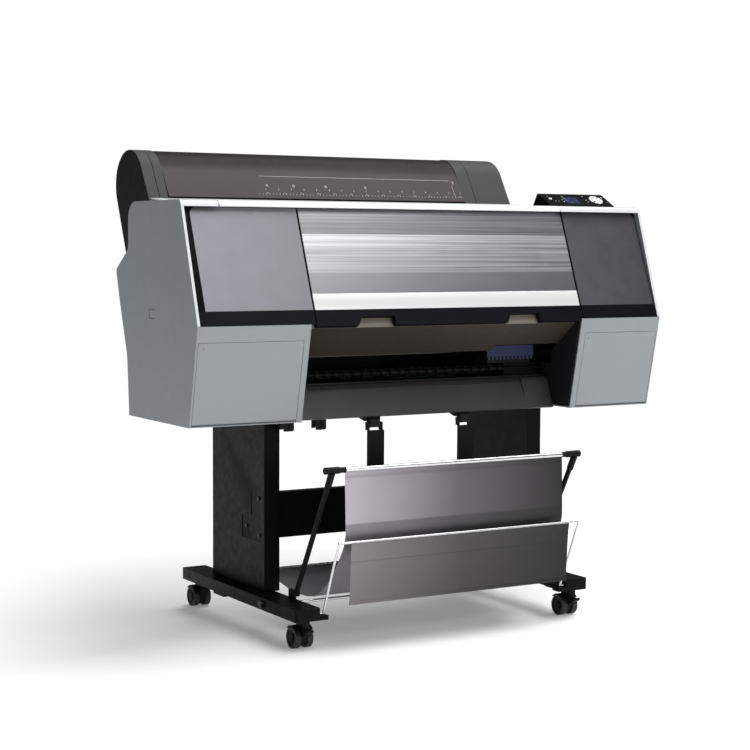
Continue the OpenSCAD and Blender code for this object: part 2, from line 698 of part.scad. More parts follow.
// --- stand --------------------------------------------------------------------------------------
foot_y = [-306, 346];
stem_y = [-258, 322];
stem_r = 5.5;
wire_foot = [-296, 93];
arm_pivot = [-166, 119];
leg_y = [-67, 233];
leg_left_x = -395;
leg_right_x = 407;
stem_shift = 14;      // how far the casters stand to the right of the middle of their foot
leg_top = body_z;
leg_foot = foot_z + foot_h;
module foot(flip) {
  x0 = foot_x - foot_w / 2;
  x1 = foot_x + foot_w / 2;
  wall = 3;
  z1 = foot_z + foot_h;
  stem_x = foot_x + (flip ? -stem_shift : stem_shift);
  color("#171717") mirror_if(flip) difference() {
    union() {
      difference() {
        translate([0, 0, foot_z]) linear_extrude(foot_h) polygon(rounded(
          [[x0, foot_y[0]], [x0, foot_y[1]], [x1, foot_y[1]], [x1, foot_y[0]]], [6, 6, 6, 6]));
        box([x0 + wall, foot_y[0] + wall, foot_z - 1], [x1 - wall, foot_y[1] - wall, z1 - wall]);
      }
      for (y = stem_y) translate([stem_x, y, foot_z]) cylinder(r = 12, h = foot_h - 1);
      box([x0 + wall - e, stem_y[0] + 60, foot_z], [x1 - wall + e, stem_y[0] + 63, z1 - 1]);
      box([x0 + wall - e, stem_y[1] - 63, foot_z], [x1 - wall + e, stem_y[1] - 60, z1 - 1]);
      difference() {
        box([x0 - 16, -287, foot_z + 3], [x0 + e, -236, foot_z + 18.5]);
        box([x0 - 17, -288, foot_z + 9], [x0 - 8, -235, foot_z + 20]);
      }
      // step under the wire's end
      box([x0 - 21, foot_y[0], foot_z], [x0 + 6, foot_y[0] + 30, wire_foot[1] - wire_r - 2]);
      box([x0, arm_pivot[0] - 13, z1 - e], [x0 + 8, arm_pivot[0] + 13, arm_pivot[1] + 11]);
      rod_x(x0 - 13.5, x0 + e, arm_pivot[0], arm_pivot[1], 4);
      box([x1 - 10, 88, foot_z - 6], [x1, 150, foot_z + 4]);
    }
    for (y = stem_y) translate([stem_x, y, foot_z - 1]) cylinder(r = stem_r + fit, h = foot_h - 4);
    rod_x(x0 - 20, x0 + wall + 0.5, wire_foot[0], wire_foot[1], wire_r + fit);
  }
}
module foot_left() { foot(true); }
module foot_right() { foot(false); }
// A leg column from x0, with a shallow recess on its outer side
module leg(x0, recess_x) {
  x1 = x0 + leg_w;
  wall = 2.5;
  color("#151515") difference() {
    box([x0, leg_y[0], leg_foot], [x1, leg_y[1], leg_top]);
    box([x0 + wall, leg_y[0] + wall, leg_foot - 1], [x1 - wall, leg_y[1] - wall, leg_top - wall]);
    box([recess_x - 1.2, -54, 232], [recess_x + 1.2, 59, 291]);
    box([recess_x - 1.2, -54, 291 - e], [recess_x + 1.2, 7, 355]);
  }
}
module leg_left() { leg(leg_left_x, leg_left_x); }
module leg_right() { leg(leg_right_x, leg_right_x + leg_w); }
beam_x = [leg_left_x + leg_w, leg_right_x];
module cross_beam() {
  color("#151515") difference() {
    box([beam_x[0], -35, 236], [beam_x[1], -5, 352]);
    box([beam_x[0] - 1, -32.5, 238.5], [beam_x[1] + 1, -4, 349.5]);
  }
}
module stand_bolts() {
  color("#2a2a2a") for (s = [-1, 1]) {
    outer_x = s > 0 ? leg_right_x + leg_w - 1.2 : leg_left_x - 2;
    for (p = [[-35, 340], [33, 262], [-38, 248]]) rod_x(outer_x, outer_x + 3.2, p[0], p[1], 4.5);
    rod_x(s > 0 ? 433 : -441, s > 0 ? 441 : -433, -130, foot_z + 15, 9);
  }
}
module basket_rods() {
  rod_y = [-193, 102];
  color("silver") {
    rod_x(-foot_x + foot_w / 2, foot_x - foot_w / 2, rod_y[0], rod_y[1], 4);
    rod_x(beam_x[0], beam_x[1], 60, 138, 4);
  }
}

// --- casters ---------------------------------------------------------------------------------------
axle_r = 3;
hood_w = 17;
module caster(x, y) {
  wall = 3;
  color("#1a1a1a") translate([x, y, 0]) {
    translate([0, 0, foot_z - 3]) cylinder(r = stem_r, h = foot_h - 4);
    translate([0, 0, foot_z - 5]) cylinder(r = 17, h = 4.6);
    difference() {
      union() {
        rod_x(-hood_w / 2, hood_w / 2, trail, wheel_r, wheel_r - 4);
        translate([-hood_w / 2, -14, wheel_r + 6]) cube([hood_w, 40, foot_z - wheel_r - 10]);
        difference() {
          rod_x(-hood_w / 2 - wheel_w - 1, hood_w / 2 + wheel_w + 1, trail, wheel_r, wheel_r + 5);
          rod_x(-60, 60, trail, wheel_r, wheel_r + 2.4);
          translate([-60, -60, -20]) cube([120, 160, 20 + wheel_r + 21]);
        }
      }
      translate([-30, trail - wheel_r - 40, -10]) cube([60, 38, 30]);
    }
    rod_x(-hood_w / 2 - wheel_w - 1, hood_w / 2 + wheel_w + 1, trail, wheel_r, axle_r);
    if (y < 0) lever_ears();
  }
}
// Two ears on the hood with the pin of the brake lever
module lever_ears() {
  for (s = [-1, 1]) box([s * 7.25 - 1.25, -22, 37], [s * 7.25 + 1.25, -13, 47]);
  rod_x(-7, 7, lever_pivot[0], lever_pivot[1], 1.5);
}
module wheels(x, y) {
  color("#222222") translate([x, y, 0]) for (s = [-1, 1]) {
    x0 = s > 0 ? hood_w / 2 + 0.4 : -hood_w / 2 - 0.4 - wheel_w;
    difference() {
      rod_x(x0, x0 + wheel_w, trail, wheel_r, wheel_r);
      rod_x(x0 - 1, x0 + wheel_w + 1, trail, wheel_r, axle_r + fit);
      rod_x(s > 0 ? x0 + wheel_w - 3 : x0 - 1, s > 0 ? x0 + wheel_w + 1 : x0 + 3, trail, wheel_r, wheel_r - 6);
    }
    difference() {
      rod_x(x0, x0 + wheel_w - 1, trail, wheel_r, 9);
      rod_x(x0 - 1, x0 + wheel_w + 1, trail, wheel_r, axle_r + fit);
    }
  }
}
lever_pivot = [-19, 42];
module brake_lever(x, y) {
  color("#303030") translate([x, y, 0]) difference() {
    union() {
      rod_x(-5.6, 5.6, lever_pivot[0], lever_pivot[1], 3.8);
      yz(-5.6, 5.6, [[-19, 38.4], [-26, 42], [-26, 48], [-19, 45.6]]);
      yz(-8, 8, rounded([[-24.5, 41.2], [-33, 46], [-36, 51], [-32, 53], [-24.5, 47.8]],
        [0, 3, 2, 2, 0], 3));
    }
    rod_x(-9, 9, lever_pivot[0], lever_pivot[1], 1.5 + fit);
  }
}
module caster_fl() { caster(-foot_x + stem_shift, stem_y[0]); }
module caster_fr() { caster(foot_x + stem_shift, stem_y[0]); }
module caster_rl() { caster(-foot_x + stem_shift, stem_y[1]); }
module caster_rr() { caster(foot_x + stem_shift, stem_y[1]); }
module wheels_fl() { wheels(-foot_x + stem_shift, stem_y[0]); }
module wheels_fr() { wheels(foot_x + stem_shift, stem_y[0]); }
module wheels_rl() { wheels(-foot_x + stem_shift, stem_y[1]); }
module wheels_rr() { wheels(foot_x + stem_shift, stem_y[1]); }
module brake_lever_fl() { brake_lever(-foot_x + stem_shift, stem_y[0]); }
module brake_lever_fr() { brake_lever(foot_x + stem_shift, stem_y[0]); }

// --- paper basket ------------------------------------------------------------------------------------
bar = [-341, 443];
strut_x = 357;
strut_top = [-344, 436];
module basket_arms() {
  color("#111111") for (s = [-1, 1]) {
    difference() {
      union() {
        rod([s * strut_x, strut_top[0], strut_top[1]], [s * strut_x, arm_pivot[0], arm_pivot[1]], strut_r);
        rod([s * strut_x, strut_top[0], strut_top[1]],
          [s * strut_x, strut_top[0] + 18, strut_top[1] - 33], strut_r + 2);
        rod_x(s * strut_x - 6.3, s * strut_x + 6.3, arm_pivot[0], arm_pivot[1], 9);
      }
      rod_x(s * strut_x - 10, s * strut_x + 10, arm_pivot[0], arm_pivot[1], 4 + fit);
    }
    rod_x(s > 0 ? 335 : -375, s > 0 ? 375 : -335, bar[0], bar[1], 8.5);
    rod_x(s > 0 ? 318 : -336, s > 0 ? 336 : -318, bar[0], bar[1], 7);
  }
  color("silver") rod_x(-319, 319, bar[0], bar[1], 6);
}
module cloth(path) {
  color("#77747a") yz(-cloth_w / 2, cloth_w / 2, strip(path, cloth_t));
}
module cloth_upper() { cloth([[-340.5, 436.1], [-343, 360], [-346, 280]]); }
module cloth_scoop() {
  cloth(reverse([[56, 131], [20, 121], [-60, 107], [-120, 104], [-160, 106], [-199, 113.5], [-251, 148],
    [-289, 187], [-312, 220], [-337, 262]]));
}
wire_top = [-373, 272.5];
wire_x = 352.4;
module basket_wire() {
  color("silver") {
    rod_x(-wire_x, wire_x, wire_top[0], wire_top[1], wire_r);
    for (s = [-1, 1]) {
      rod([s * wire_x, wire_foot[0], wire_foot[1]], [s * wire_x, wire_top[0], wire_top[1]], wire_r);
      for (p = [wire_foot, wire_top]) translate([s * wire_x, p[0], p[1]]) sphere(r = wire_r + gap);
      rod_x(s > 0 ? wire_x : -wire_x - 14, s > 0 ? wire_x + 14 : -wire_x, wire_foot[0], wire_foot[1], wire_r);
    }
  }
}
module cloth_front() { cloth([[-372.2, 268.8], [-368, 200], [-363.4, 120.5]]); }

foot_left();
foot_right();
leg_left();
leg_right();
cross_beam();
stand_bolts();
basket_rods();
caster_fl();
caster_fr();
caster_rl();
caster_rr();
wheels_fl();
wheels_fr();
wheels_rl();
wheels_rr();
brake_lever_fl();
brake_lever_fr();
basket_arms();
cloth_upper();
cloth_scoop();
basket_wire();
cloth_front();
guide_left();
guide_right();
chassis();
housing_left();
housing_right();
front_frame();
panel_left();
panel_right();
top_deck();
rear_cover();
fascia();
paper_guide();
front_cover();
cover_skin();
cover_strip();
ink_door_left();
ink_door_right();
roll_cover();
roll_caps();
roll_adapters();
console();
display();
key_power();
key_ok();
key_arrows();
carriage_rail();
carriage();
drive_belt();
drive_pulley();
idler_pulley();
carriage_motor();
feed_roller();
platen();
exit_roller();
ink_cartridges();
service_station();
electronics();
rear_sockets();
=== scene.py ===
"""Looks of a wide-format inkjet printer on a castered stand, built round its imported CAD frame.

Metres, in the row frame: +X to the printer's right, -Y to the front, +Z up.
"""

import json
import math
import random

import bmesh
import bpy
from mathutils import Matrix, Vector

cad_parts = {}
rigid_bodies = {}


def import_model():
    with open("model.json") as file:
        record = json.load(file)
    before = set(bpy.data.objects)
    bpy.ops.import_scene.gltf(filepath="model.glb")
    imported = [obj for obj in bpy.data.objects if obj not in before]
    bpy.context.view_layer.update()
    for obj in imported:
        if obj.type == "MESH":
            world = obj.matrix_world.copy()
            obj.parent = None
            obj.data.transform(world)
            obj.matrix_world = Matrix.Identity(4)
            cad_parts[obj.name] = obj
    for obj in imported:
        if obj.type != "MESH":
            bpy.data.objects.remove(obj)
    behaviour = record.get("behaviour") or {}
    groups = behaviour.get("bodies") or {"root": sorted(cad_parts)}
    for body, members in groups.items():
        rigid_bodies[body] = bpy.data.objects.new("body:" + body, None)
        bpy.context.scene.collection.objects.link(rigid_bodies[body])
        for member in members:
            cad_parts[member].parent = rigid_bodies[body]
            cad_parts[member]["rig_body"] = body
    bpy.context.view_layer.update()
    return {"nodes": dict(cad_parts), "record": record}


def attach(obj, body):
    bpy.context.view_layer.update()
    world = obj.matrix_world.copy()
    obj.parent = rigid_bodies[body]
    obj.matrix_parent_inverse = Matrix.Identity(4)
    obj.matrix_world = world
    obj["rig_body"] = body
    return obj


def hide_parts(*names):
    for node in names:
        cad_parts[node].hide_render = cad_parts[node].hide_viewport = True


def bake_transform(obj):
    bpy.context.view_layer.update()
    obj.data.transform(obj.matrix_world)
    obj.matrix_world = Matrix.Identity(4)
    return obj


MM = 0.001
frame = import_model()
RECORD = frame["record"]
NODES = frame["nodes"]
BODY_OF = {n: b for b, ns in RECORD["behaviour"]["bodies"].items() for n in ns}
ROOT = "printer_body"


def placed(name, data):
    """A new object in the scene."""
    obj = bpy.data.objects.new(name, data)
    bpy.context.scene.collection.objects.link(obj)
    return obj


# --- camera -----------------------------------------------------------------------------
def make_camera():
    """The camera: where it stands, which way it looks and its lens."""
    azimuth, down, roll = (math.radians(a) for a in (30.543, 4.297, 0.267))
    look = Vector((math.sin(azimuth) * math.cos(down), math.cos(azimuth) * math.cos(down),
                   -math.sin(down)))
    side = Vector((math.cos(azimuth), -math.sin(azimuth), 0))
    up = side.cross(look)
    right = side * math.cos(roll) + up * math.sin(roll)
    top = up * math.cos(roll) - side * math.sin(roll)
    data = bpy.data.cameras.new("photo_camera")
    data.lens, data.sensor_width = 84.96, 36
    data.clip_start, data.clip_end = 0.1, 60
    cam = placed("photo_camera", data)
    turn = Matrix((right, top, -look)).transposed().to_4x4()
    cam.matrix_world = Matrix.Translation((-2.3856, -3.9817, 0.9842)) @ turn
    bpy.context.scene.camera = cam


make_camera()


# --- materials --------------------------------------------------------------------------
def linear(hex_colour):
    """Scene-linear RGBA of an sRGB colour such as "6b7073"."""
    rgb = [int(hex_colour[i:i + 2], 16) / 255 for i in (0, 2, 4)]
    lin = [c / 12.92 if c <= 0.04045 else ((c + 0.055) / 1.055) ** 2.4 for c in rgb]
    return (*[min(1.0, c) for c in lin], 1.0)


def shaded(colour, factor):
    """The colour made darker or lighter."""
    return (*[min(1.0, c * factor) for c in colour[:3]], 1.0)


class Shader:
    """A material's node tree, with short calls for the nodes used here."""

    def __init__(self, name, rough, **sockets):
        self.mat = bpy.data.materials.new(name)
        self.mat.use_nodes = True
        self.tree = self.mat.node_tree
        self.bsdf = self.tree.nodes["Principled BSDF"]
        self.bsdf.inputs["Roughness"].default_value = rough
        for key, value in sockets.items():
            self.bsdf.inputs[key.replace("_", " ")].default_value = value
        self.coord = self.node("ShaderNodeTexCoord").outputs["Object"]

    def node(self, kind, **attributes):
        n = self.tree.nodes.new(kind)
        for key, value in attributes.items():
            setattr(n, key, value)
        return n

    def link(self, a, b):
        self.tree.links.new(a, b)

    def mapped(self, scale=(1, 1, 1), turn=(0, 0, 0)):
        m = self.node("ShaderNodeMapping")
        m.inputs["Scale"].default_value = scale
        m.inputs["Rotation"].default_value = turn
        self.link(self.coord, m.inputs["Vector"])
        return m.outputs["Vector"]

    def noise(self, scale, detail=2.0, vector=None, rough=0.55):
        n = self.node("ShaderNodeTexNoise")
        n.inputs["Scale"].default_value = scale
        n.inputs["Detail"].default_value = detail
        n.inputs["Roughness"].default_value = rough
        self.link(vector or self.coord, n.inputs["Vector"])
        return n.outputs["Fac"]

    def voronoi(self, scale, vector=None, feature="F1"):
        n = self.node("ShaderNodeTexVoronoi", feature=feature)
        n.inputs["Scale"].default_value = scale
        self.link(vector or self.coord, n.inputs["Vector"])
        return n.outputs["Distance"]

    def ramp(self, fac, stops):
        r = self.node("ShaderNodeValToRGB")
        while len(r.color_ramp.elements) < len(stops):
            r.color_ramp.elements.new(0.5)
        for e, (place, colour) in zip(r.color_ramp.elements, stops):
            e.position, e.color = place, colour
        self.link(fac, r.inputs["Fac"])
        return r.outputs["Color"]

    def span(self, fac, low, high, at=(0.0, 1.0)):
        """fac from the range at, taken to the range low to high."""
        m = self.node("ShaderNodeMapRange")
        for key, value in zip(("From Min", "From Max", "To Min", "To Max"), (*at, low, high)):
            m.inputs[key].default_value = value
        self.link(fac, m.inputs["Value"])
        return m.outputs["Result"]

    def maths(self, operation, a, b):
        m = self.node("ShaderNodeMath", operation=operation)
        for socket, value in zip(m.inputs, (a, b)):
            if isinstance(value, (int, float)):
                socket.default_value = value
            else:
                self.link(value, socket)
        return m.outputs["Value"]

    def mix(self, fac, a, b, blend="MIX"):
        m = self.node("ShaderNodeMix", data_type="RGBA", blend_type=blend)
        for socket, value in ((m.inputs[0], fac), (m.inputs[6], a), (m.inputs[7], b)):
            if isinstance(value, (int, float, tuple)):
                socket.default_value = value
            else:
                self.link(value, socket)
        return m.outputs[2]

    def axis(self, name):
        s = self.node("ShaderNodeSeparateXYZ")
        self.link(self.coord, s.inputs["Vector"])
        return s.outputs[name]

    def colour(self, value):
        if isinstance(value, tuple):
            self.bsdf.inputs["Base Color"].default_value = value
        else:
            self.link(value, self.bsdf.inputs["Base Color"])

    def roughness(self, value):
        self.link(value, self.bsdf.inputs["Roughness"])

    def bump(self, *layers):
        """Bump from (height, distance in mm, strength) layers, each on top of the one before."""
        normal = None
        for height, distance, strength in layers:
            b = self.node("ShaderNodeBump")
            b.inputs["Strength"].default_value = strength
            b.inputs["Distance"].default_value = distance * MM
            self.link(height, b.inputs["Height"])
            if normal is not None:
                self.link(normal, b.inputs["Normal"])
            normal = b.outputs["Normal"]
        self.link(normal, self.bsdf.inputs["Normal"])


def plastic(name, hex_colour, rough, grain=0.05, cell=0.9, cloud=0.05, coat=0.0, gloss=0.5):
    """Moulded plastic: a fine spark-eroded grain, faint clouds and slightly uneven gloss."""
    s = Shader(name, rough, Coat_Weight=coat, Coat_Roughness=0.12, Specular_IOR_Level=gloss)
    base = linear(hex_colour)
    s.colour(s.mix(s.noise(6.0, 3.0), shaded(base, 1 - cloud), shaded(base, 1 + cloud)))
    s.roughness(s.span(s.noise(38.0, 4.0), rough - 0.05, rough + 0.06, (0.3, 0.7)))
    s.bump((s.noise(1000 / cell, 2.0), grain, 0.5), (s.voronoi(620 / cell), grain * 0.8, 0.3))
    return s.mat


def painted(name, hex_colour, rough):
    """Powder-coated sheet steel: orange peel, a light dust and a satin gloss."""
    s = Shader(name, rough, Specular_IOR_Level=0.07)
    base = linear(hex_colour)
    s.colour(s.mix(s.span(s.noise(14.0, 5.0), 0.0, 0.5, (0.45, 0.75)), base, shaded(base, 1.03)))
    s.roughness(s.span(s.noise(55.0, 3.0), rough - 0.06, rough + 0.1, (0.3, 0.7)))
    s.bump((s.noise(420.0, 2.0), 0.04, 0.6), (s.noise(1900.0, 1.0), 0.02, 0.25))
    return s.mat


def smoked_painted_shade(name, low_hex, high_hex, z_low, z_high):
    """Smoked plastic with painted shade: it gets darker from one height to another, towards the roll
    cover's curved top.
    """
    s = Shader(name, 0.42, Specular_IOR_Level=0.05)
    height = s.span(s.axis("Z"), 0.0, 1.0, (z_low, z_high))
    tone = s.ramp(height, [(0.0, linear(low_hex)), (1.0, linear(high_hex))])
    s.colour(s.mix(s.span(s.noise(6.0, 3.0), 0.0, 0.25), tone, linear(high_hex)))
    s.roughness(s.span(s.noise(38.0, 4.0), 0.38, 0.48, (0.3, 0.7)))
    s.bump((s.noise(1250.0, 2.0), 0.02, 0.5), (s.voronoi(775.0), 0.016, 0.3))
    return s.mat


def brushed(name, hex_colour, rough, along="X", metal=1.0, line=0.03, streak=0.12):
    """Metal brushed along one axis: fine lines in its colour, gloss and relief."""
    s = Shader(name, rough, Metallic=metal, Anisotropic=0.55)
    scale = {"X": (1.2, 420, 420), "Z": (420, 420, 1.2)}[along]
    fine = s.noise(3.2, 4.0, s.mapped(scale), 0.7)
    wide = s.noise(0.5, 2.0, s.mapped(tuple(v / 2 for v in scale)))
    base = linear(hex_colour)
    s.colour(s.mix(s.maths("MULTIPLY", s.maths("ADD", fine, wide), 0.5),
                   shaded(base, 1 - streak), shaded(base, 1 + streak)))
    s.roughness(s.span(fine, rough - 0.06, rough + 0.08, (0.3, 0.7)))
    s.bump((fine, line, 0.5))
    return s.mat


def rubber(name, hex_colour, rough=0.62):
    """Matte rubber with a fine skin and a little bloom."""
    s = Shader(name, rough)
    base = linear(hex_colour)
    bloom = tuple(c * 1.7 + 0.004 for c in base[:3]) + (1.0,)
    s.colour(s.mix(s.span(s.noise(60.0, 4.0), 0.0, 0.6, (0.4, 0.75)), base, bloom))
    s.roughness(s.span(s.noise(130.0, 3.0), rough - 0.08, rough + 0.1, (0.3, 0.7)))
    s.bump((s.noise(900.0, 3.0), 0.08, 0.5))
    return s.mat


def woven(name, painted_sheen_hex, bands):
    """Satin cloth: a fine twill with a soft sheen.

    The colours along the printer's width are a painted sheen, from light on the left to dark on the
    right; bands: (height in m, tone) pairs, lowest first.
    """
    s = Shader(name, 0.42, Sheen_Weight=0.15, Sheen_Roughness=0.4, Metallic=0.35)
    weave = []
    for turn in (math.radians(45), math.radians(-45)):
        w = s.node("ShaderNodeTexWave", wave_type="BANDS", bands_direction="X")
        w.inputs["Scale"].default_value = 260
        w.inputs["Distortion"].default_value = 0.6
        s.link(s.mapped((1, 0.15, 1), (0, turn, 0)), w.inputs["Vector"])
        weave.append(w.outputs["Fac"])
    threads = s.maths("MULTIPLY", weave[0], weave[1])
    # painted sheen: light on the left, dark on the right
    along = s.ramp(s.span(s.axis("X"), 0.0, 1.0, (-0.32, 0.32)),
                   [(k / (len(painted_sheen_hex) - 1), linear(h)) for k, h in enumerate(painted_sheen_hex)])
    # bands scale the tone by height: on the basket cloth painted shade below 310 mm, on the flap darker
    # towards the bottom and a seam line
    stops = [((height - 0.1) / 0.4, (tone, tone, tone, 1.0)) for height, tone in bands]
    tones = s.ramp(s.span(s.axis("Z"), 0.0, 1.0, (0.1, 0.5)), stops)
    cloth = s.mix(1.0, along, tones, "MULTIPLY")
    yarn = s.maths("ADD", s.maths("MULTIPLY", threads, 0.6), s.maths("MULTIPLY", s.noise(9.0, 3.0), 0.4))
    s.colour(s.mix(1.0, cloth, s.ramp(yarn, [(0.0, (0.8, 0.8, 0.8, 1.0)), (1.0, (1.0, 1.0, 1.0, 1.0))]),
                   "MULTIPLY"))
    s.roughness(s.span(s.noise(30.0, 3.0), 0.36, 0.5, (0.3, 0.7)))
    s.bump((s.noise(5.0, 2.0), 1.2, 0.25), (threads, 0.12, 0.5))
    return s.mat


def film_with_painted_reflection(name, lit_left_hex, dark_right_hex, rough, x_left, x_right, streaks=None):
    """Metallic paint under a clear coat, with a painted reflection: its tone runs from light on the left
    to dark on the right along the printer's width.

    streaks: local height above which it looks brushed.
    """
    s = Shader(name, rough, Metallic=0.55, Coat_Weight=0.25, Coat_Roughness=0.2)
    along = s.span(s.axis("X"), 0.0, 1.0, (x_left, x_right))
    # painted reflection: light at x_left, fading to dark at x_right
    base = s.ramp(along, [(0.0, linear(lit_left_hex)), (1.0, linear(dark_right_hex))])
    flake = s.span(s.voronoi(2600.0), 0.0, 0.16)
    base = s.mix(flake, base, (0.75, 0.75, 0.77, 1.0))
    if streaks:
        lines = s.noise(2.0, 3.0, s.mapped((0.6, 90, 90)), 0.6)
        there = s.span(s.axis("Z"), 0.0, 1.0, (streaks - 0.0005, streaks + 0.0005))
        base = s.mix(s.maths("MULTIPLY", there, s.span(lines, 0.0, 0.5, (0.35, 0.65))), base,
                     (0.5, 0.5, 0.52, 1.0))
    s.colour(base)
    s.roughness(s.span(s.noise(24.0, 3.0), rough - 0.04, rough + 0.05, (0.3, 0.7)))
    s.bump((s.noise(1400.0, 2.0), 0.015, 0.4))
    return s.mat


HOUSING = plastic("housing_plastic", "8d9295", 0.46, 0.05, 1.1, 0.02)
# painted top light: the deck is made near white in place of the light from above
DECK_TOP_LIGHT = plastic("deck_painted_top_light", "e4e6e7", 0.38, 0.03, 0.9, 0.015, coat=0.2)
# painted highlight: the housing's grey made pale on its top edge and front rim
RIM_HIGHLIGHT = plastic("rim_painted_highlight", "cdcfd2", 0.36, 0.03, 0.9, 0.015, coat=0.2)
TRIM = plastic("trim_plastic", "0e0e12", 0.42, 0.03, 0.7, 0.1, gloss=0.06)
CAP = plastic("cap_plastic", "484849", 0.5, 0.05, 0.9, 0.05, gloss=0.08)
CAP_END = plastic("cap_end_plastic", "151516", 0.5, 0.05, 0.9, 0.1, gloss=0.1)
# painted shade: darker from 1165 mm up to 1190 mm, over the roll cover's curved top
SMOKE = smoked_painted_shade("smoke_plastic", "504b4d", "262325", 1.165, 1.19)
BLACK = plastic("black_plastic", "101011", 0.5, 0.06, 0.9, 0.12, gloss=0.12)
INNER = plastic("inner_plastic", "101012", 0.55, 0.06, 0.9, 0.12, gloss=0.12)
# painted light and shade: one beige plastic as a dark shaded copy for the slanted face and a light lit
# copy for the upright part
BEIGE_SHADED = plastic("fascia_painted_shade", "322e28", 0.55, 0.05, 0.9, 0.04, gloss=0.2)
BEIGE_LIT_LIP = plastic("fascia_lip_painted_light", "6f6a62", 0.55, 0.05, 0.9, 0.04, gloss=0.3)
# painted shade: the exit's walls in a housing grey made darker
LINER_SHADE = painted("liner_painted_shade", "686a6a", 0.5)
RAIL = brushed("rail_steel", "3a3a3b", 0.35, "X", line=0.02)
GUIDE = plastic("guide_plastic", "343435", 0.42, 0.04, 0.8, 0.05, gloss=0.35)
BLUE = plastic("carriage_blue", "20264a", 0.4, 0.05, 0.8, 0.08, gloss=0.3)
STAND = painted("stand_paint", "0b0b0b", 0.4)
CHASSIS = painted("chassis_paint", "222325", 0.45)
WIRE = brushed("wire_steel", "d5d5d6", 0.22, "X", line=0.01, streak=0.05)
STRIP = brushed("strip_aluminium", "e6e6e6", 0.42, "X", line=0.03, streak=0.07, metal=0.45)
TYRE = rubber("tyre_rubber", "1a1a1b")
# painted sheen along the width on the basket cloth
CLOTH = woven("basket_cloth", ("b2aeb4", "615e61", "1d1a1c"),
              # painted shade: the cloth below 310 mm, where it curves into the scoop behind the flap; a
              # darker line at 425 mm
              [(0.310, 0.55), (0.313, 1.0), (0.42, 1.0), (0.425, 0.75), (0.432, 1.0)])
# painted sheen along the width on the flap; darker towards the bottom, with a dark seam line at 224 mm
FLAP = woven("flap_cloth", ("7d797b", "413e40", "0d0c0d"),
             [(0.12, 0.8), (0.223, 1.0), (0.2245, 0.45), (0.226, 1.05)])
# painted reflection: the side panels and the front cover run from light on the left to dark on the right
PANEL = film_with_painted_reflection("panel_film_painted_reflection", "62616a", "2f2e33", 0.36, -0.65, 0.667)
COVER = film_with_painted_reflection("cover_film_painted_reflection", "7c7b81", "37353b", 0.36, -0.65, 0.667, streaks=0.13)
GROOVE = rubber("groove_shadow", "060606", 0.8)
CHALK = plastic("white_print", "d8d6d4", 0.6, 0.01, 0.5, 0.03)
REAR = plastic("rear_plastic", "1c1c1e", 0.5, 0.06, 0.9, 0.1, gloss=0.2)
SCREW_LIGHT = brushed("screw_steel", "77777a", 0.35, "X", line=0.02)
SCREW = brushed("screw_zinc", "3a3a3c", 0.35, "X", line=0.02)
KEY_WHITE = plastic("key_white", "e9e9ea", 0.35, 0.01, 0.5, 0.02)
KEY_SILVER = brushed("key_silver", "bdbdc0", 0.3, "X", line=0.01, metal=0.8)
GLOSS = plastic("console_gloss", "08080a", 0.45, 0.008, 0.6, 0.1, gloss=0.02)
BELT = rubber("belt_rubber", "0a0a0a")
ROLLER = rubber("roller_grit", "3a3a3a", 0.7)
ALU = brushed("turned_aluminium", "a9a9ab", 0.32, "Z", line=0.02)


def screen_material():
    """Dark display: soft coloured fields behind glass."""
    s = Shader("display_glass", 0.08, Coat_Weight=0.8, Coat_Roughness=0.03)
    field = s.voronoi(64.0, s.mapped((1.0, 1.4, 1.4)))
    base = s.ramp(field, [(0.0, linear("4a4f9a")), (0.45, linear("1c2350")), (0.8, linear("0b0d1a"))])
    s.colour(base)
    s.link(base, s.bsdf.inputs["Emission Color"])
    s.bsdf.inputs["Emission Strength"].default_value = 0.25
    s.bump((s.noise(300.0), 0.01, 0.2))
    return s.mat


def board_material():
    """Green circuit board with copper traces under its varnish."""
    s = Shader("circuit_board", 0.35, Coat_Weight=0.4, Coat_Roughness=0.2)
    traces = s.voronoi(150.0, feature="DISTANCE_TO_EDGE")
    s.colour(s.mix(s.span(traces, 0.0, 1.0, (0.02, 0.06)), linear("2c6b35"), linear("123d1c")))
    s.bump((traces, 0.1, 0.4))
    return s.mat


SCREEN = screen_material()
BOARD = board_material()


# --- pieces -----------------------------------------------------------------------------
def piece(name, mesh, body, material, replaces=(), place=None):
    """A new piece on a CAD body."""
    obj = placed(name, mesh)
    if place is not None:
        obj.matrix_world = place
    for m in material if isinstance(material, (list, tuple)) else [material]:
        mesh.materials.append(m)
    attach(obj, body)
    if replaces:
        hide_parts(*replaces)
    return obj


SHARP = math.radians(30)


def soften(obj, width):
    """Rounds the piece's sharp edges by width in mm and shades what lies between them smooth."""
    obj.data.shade_smooth()
    obj.data.set_sharp_from_angle(angle=SHARP)
    if width:
        bevel = obj.modifiers.new("bevel", "BEVEL")
        bevel.width, bevel.segments = width * MM, 2
        bevel.limit_method, bevel.angle_limit = "ANGLE", SHARP
        bevel.use_clamp_overlap = True
        bevel.harden_normals = True
    return obj


